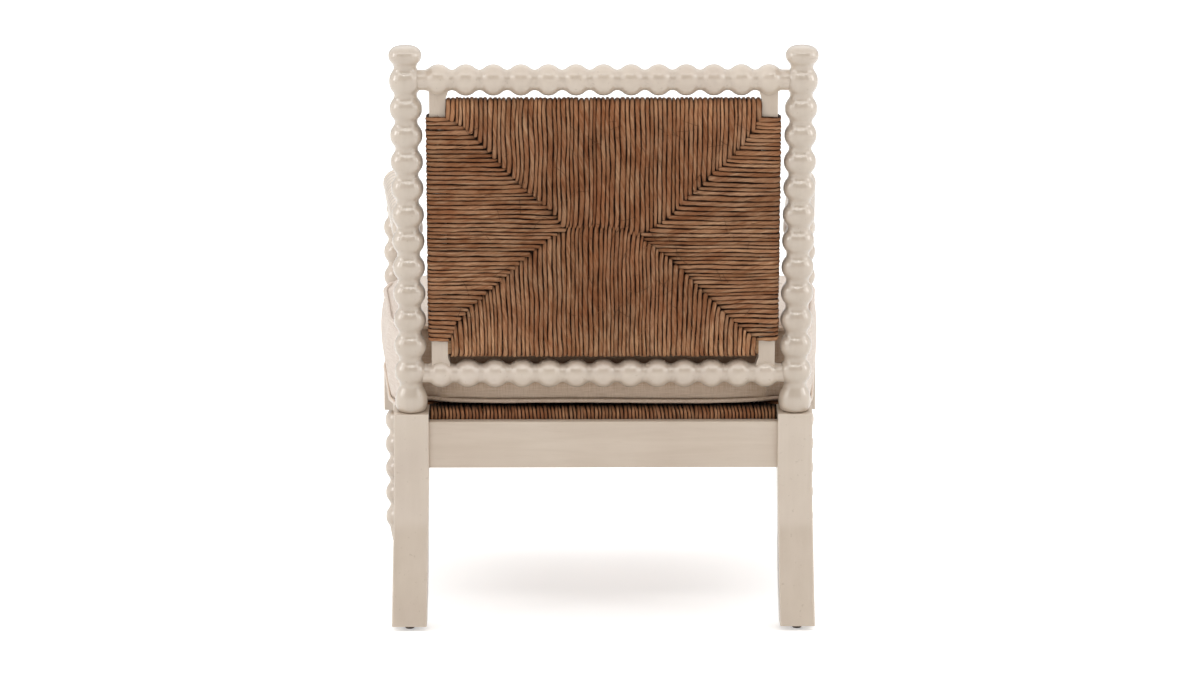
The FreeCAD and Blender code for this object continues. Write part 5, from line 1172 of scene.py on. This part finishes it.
def seam_loop(row, out_d_, dz):
    """Line that the piping follows: the seam's points, moved out and up."""
    idx = np.array(ringi[row])
    p = Q[idx].copy()
    p[:, 0] += nrm2[:, 0] * out_d_
    p[:, 1] += nrm2[:, 1] * out_d_
    p[:, 2] += dz
    ker = np.array([1, 4, 6, 4, 1]) / 16.0
    for _ in range(2):
        p = sum(k_ * np.roll(p, s_, 0) for k_, s_ in zip(ker, range(-2, 3)))
    return p


def closed_tube(name, p, radius, mat, sides=12, wave=0.0):
    n = len(p)
    fine = 3
    t = np.arange(n * fine) / fine
    i0 = np.floor(t).astype(int)
    f = (t - i0)[:, None]
    p0, p1, p2, p3 = (p[(i0 + k) % n] for k in (-1, 0, 1, 2))
    q = 0.5 * (2 * p1 + (p2 - p0) * f + (2 * p0 - 5 * p1 + 4 * p2 - p3) * f ** 2 + (3 * p1 - p0 - 3 * p2 + p3) * f ** 3)
    m = len(q)
    tan = np.roll(q, -1, 0) - np.roll(q, 1, 0)
    tan /= np.linalg.norm(tan, axis=1)[:, None]
    up = np.array([0, 0, 1.0])
    b = np.cross(tan, up)
    b /= np.linalg.norm(b, axis=1)[:, None]
    nn = np.cross(b, tan)
    th = np.linspace(0, 2 * math.pi, sides, endpoint=False)
    s = np.r_[0, np.cumsum(np.linalg.norm(np.diff(q, axis=0), axis=1))]
    rr = radius * (1 + wave * np.sin(s * 230) * 0.5 + wave * np.sin(s * 91 + 1.0))
    ring = q[:, None, :] + (rr[:, None] * np.cos(th))[:, :, None] * b[:, None, :] + (rr[:, None] * np.sin(th))[:, :, None] * nn[:, None, :]
    i = np.arange(m)[:, None]
    j = np.arange(sides)[None, :]
    quad = np.stack([i * sides + j, ((i + 1) % m) * sides + j, ((i + 1) % m) * sides + (j + 1) % sides, i * sides + (j + 1) % sides], -1)
    me_ = bpy.data.meshes.new(name)
    me_.from_pydata(ring.reshape(-1, 3).tolist(), [], quad.reshape(-1, 4).tolist())
    uv_ = me_.uv_layers.new(name="cloth")
    s2 = np.r_[s, s[-1] + np.linalg.norm(q[0] - q[-1])]
    u = np.stack([np.broadcast_to(s2[:-1, None], (m, sides)), np.broadcast_to(s2[1:, None], (m, sides)),
                  np.broadcast_to(s2[1:, None], (m, sides)), np.broadcast_to(s2[:-1, None], (m, sides))], -1)
    circ = 2 * math.pi * radius
    v = np.stack([np.broadcast_to(j / sides * circ, (m, sides)), np.broadcast_to(j / sides * circ, (m, sides)),
                  np.broadcast_to((j + 1) / sides * circ, (m, sides)), np.broadcast_to((j + 1) / sides * circ, (m, sides))], -1)
    # bias-cut strip: its threads run at 45 degrees
    uv_.data.foreach_set("uv", np.stack([(u + v) * 0.7071, (v - u) * 0.7071], -1).reshape(-1))
    me_.polygons.foreach_set("use_smooth", np.ones(len(me_.polygons), bool))
    me_.materials.append(mat)
    me_.update()
    o = bpy.data.objects.new(name, me_)
    scene.collection.objects.link(o)
    return o


PR = 0.0033
pipe_top = closed_tube("cushion_piping_top_cord", seam_loop(0, PR * 0.90, -PR * 0.55), PR, M_LINEN_PIPE, wave=0.035)
pipe_low = closed_tube("cushion_piping_bottom_cord", seam_loop(ROWS, PR * 0.75, PR * 0.75), PR, M_LINEN_PIPE, wave=0.035)

# pull the cover in beside the piping, so that a seam line shows
for row, dz in ((0, -1), (ROWS, 1)):
    inner = ringi[1] if row == 0 else ringi[ROWS - 1]
    for i in range(K):
        v = me.vertices[inner[i]]
        v.co.x -= nrm2[i][0] * 0.0006
        v.co.y -= nrm2[i][1] * 0.0006
me.update()
sub = cover.modifiers.new("smooth", "SUBSURF")
sub.levels = 1
sub.render_levels = 1
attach(cover, "cushion")
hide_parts("cushion_top_panel", "cushion_bottom_panel", "cushion_boxing", "cushion_foam")
for o, n_ in ((pipe_top, "cushion_piping_top"), (pipe_low, "cushion_piping_bottom")):
    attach(o, "cushion")
    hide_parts(n_)
paint("cushion_zip", M_ZIP)

# -------------------------------------------------------------------- stage
fm = Tree("floor_paper")
fn = fm.noise(fm.coords("Object"), 3.0, 3.0)
fm.set(Base_Color=fm.ramp(fn, [(0.3, (0.90, 0.90, 0.895)), (0.7, (0.92, 0.92, 0.915))]))
fm.set(Roughness=fm.map(fn, 0.3, 0.7, 0.85, 0.95))
fm.t.links.new(fm.math("MULTIPLY", fm.n("LightPath").outputs["Is Camera Ray"], 0.42), fm.bsdf.inputs["Emission Strength"])
fm.bsdf.inputs["Emission Color"].default_value = (1.0, 1.0, 1.0, 1.0)
me_f = bpy.data.meshes.new("floor")
me_f.from_pydata([(-40, -60, 0), (40, -60, 0), (40, 40, 0), (-40, 40, 0)], [], [(0, 1, 2, 3)])
me_f.materials.append(fm.m)
floor = bpy.data.objects.new("floor", me_f)
scene.collection.objects.link(floor)

world = bpy.data.worlds.new("studio")
scene.world = world
world.use_nodes = True
wt = world.node_tree
bg = wt.nodes["Background"]


def wn(kind, **props):
    x = wt.nodes.new("ShaderNode" + kind)
    for k_, v_ in props.items():
        setattr(x, k_, v_)
    return x


def wmath(op, a_, b_=None, clamp=False):
    x = wn("Math", operation=op, use_clamp=clamp)
    for i_, v_ in enumerate((a_, b_)):
        if isinstance(v_, bpy.types.NodeSocket):
            wt.links.new(v_, x.inputs[i_])
        elif v_ is not None:
            x.inputs[i_].default_value = v_
    return x.outputs[0]


def wstep(v_, lo, hi, a_=0.0, b_=1.0):
    x = wn("MapRange", interpolation_type="SMOOTHSTEP")
    for i_, q_ in enumerate((v_, lo, hi, a_, b_)):
        if isinstance(q_, bpy.types.NodeSocket):
            wt.links.new(q_, x.inputs[i_])
        else:
            x.inputs[i_].default_value = q_
    return x.outputs[0]


# a white room: brighter overhead, greyer where the photographer stands
wc = wn("TexCoord")
ws = wn("SeparateXYZ")
wt.links.new(wc.outputs["Generated"], ws.inputs[0])
wx, wy, wz = ws.outputs
GAIN = 1.018
hor = wmath("SQRT", wmath("ADD", wmath("MULTIPLY", wx, wx), wmath("MULTIPLY", wy, wy)))
az = wmath("DIVIDE", wy, wmath("MAXIMUM", hor, 0.001))
sky = wstep(wz, -0.1, 0.85, 1.16, 1.22)
dark = wmath("MULTIPLY", wstep(az, 0.545, 0.575), wmath("MULTIPLY", wstep(wz, 0.685, 0.660), wstep(wz, 0.10, 0.17)))
frame_ = wmath("MULTIPLY", wstep(az, 0.420, 0.450), wstep(wz, 0.765, 0.735))
frame_ = wmath("MULTIPLY", wmath("SUBTRACT", frame_, dark, True), wstep(wz, 0.16, 0.26))
front = wmath("MULTIPLY", wstep(wy, -0.2, -0.8), wstep(wz, 0.6, 0.3))
level = wmath("MULTIPLY", sky, wmath("SUBTRACT", 1.0, wmath("MULTIPLY", dark, 0.80)))
level = wmath("ADD", level, wmath("MULTIPLY", frame_, 1.9))
level = wmath("MULTIPLY", level, wmath("SUBTRACT", 1.0, wmath("MULTIPLY", front, 0.45)))
level = wmath("MULTIPLY", level, GAIN)
seen = wn("LightPath").outputs["Is Camera Ray"]
level = wmath("ADD", wmath("MULTIPLY", level, wmath("SUBTRACT", 1.0, seen)), wmath("MULTIPLY", seen, 1.1))
wt.links.new(level, bg.inputs["Strength"])
bg.inputs["Color"].default_value = (1.0, 0.992, 0.980, 1.0)


def softbox(name, at, target, size, power, color=(1, 1, 1)):
    d = bpy.data.lights.new(name, "AREA")
    d.shape = "RECTANGLE"
    d.size, d.size_y = size
    d.energy = power
    d.color = color
    o = bpy.data.objects.new(name, d)
    o.location = at
    o.rotation_mode = "QUATERNION"
    o.rotation_quaternion = (Vector(target) - Vector(at)).to_track_quat("-Z", "Y")
    scene.collection.objects.link(o)
    return o


softbox("ceiling_left", (0.78, 3.15, 3.45), (0, 0.25, 0.5), (0.34, 0.34), 1.2)
softbox("ceiling_right", (-0.78, 3.15, 3.45), (0, 0.25, 0.5), (0.34, 0.34), 1.2)
softbox("window_left", (3.6, 0.6, 1.7), (0, 0.1, 0.5), (0.9, 1.6), 15)
softbox("window_right", (-3.6, 0.6, 1.7), (0, 0.1, 0.5), (0.9, 1.6), 13)
scene.view_settings.view_transform = "Standard"
scene.view_settings.look = "None"
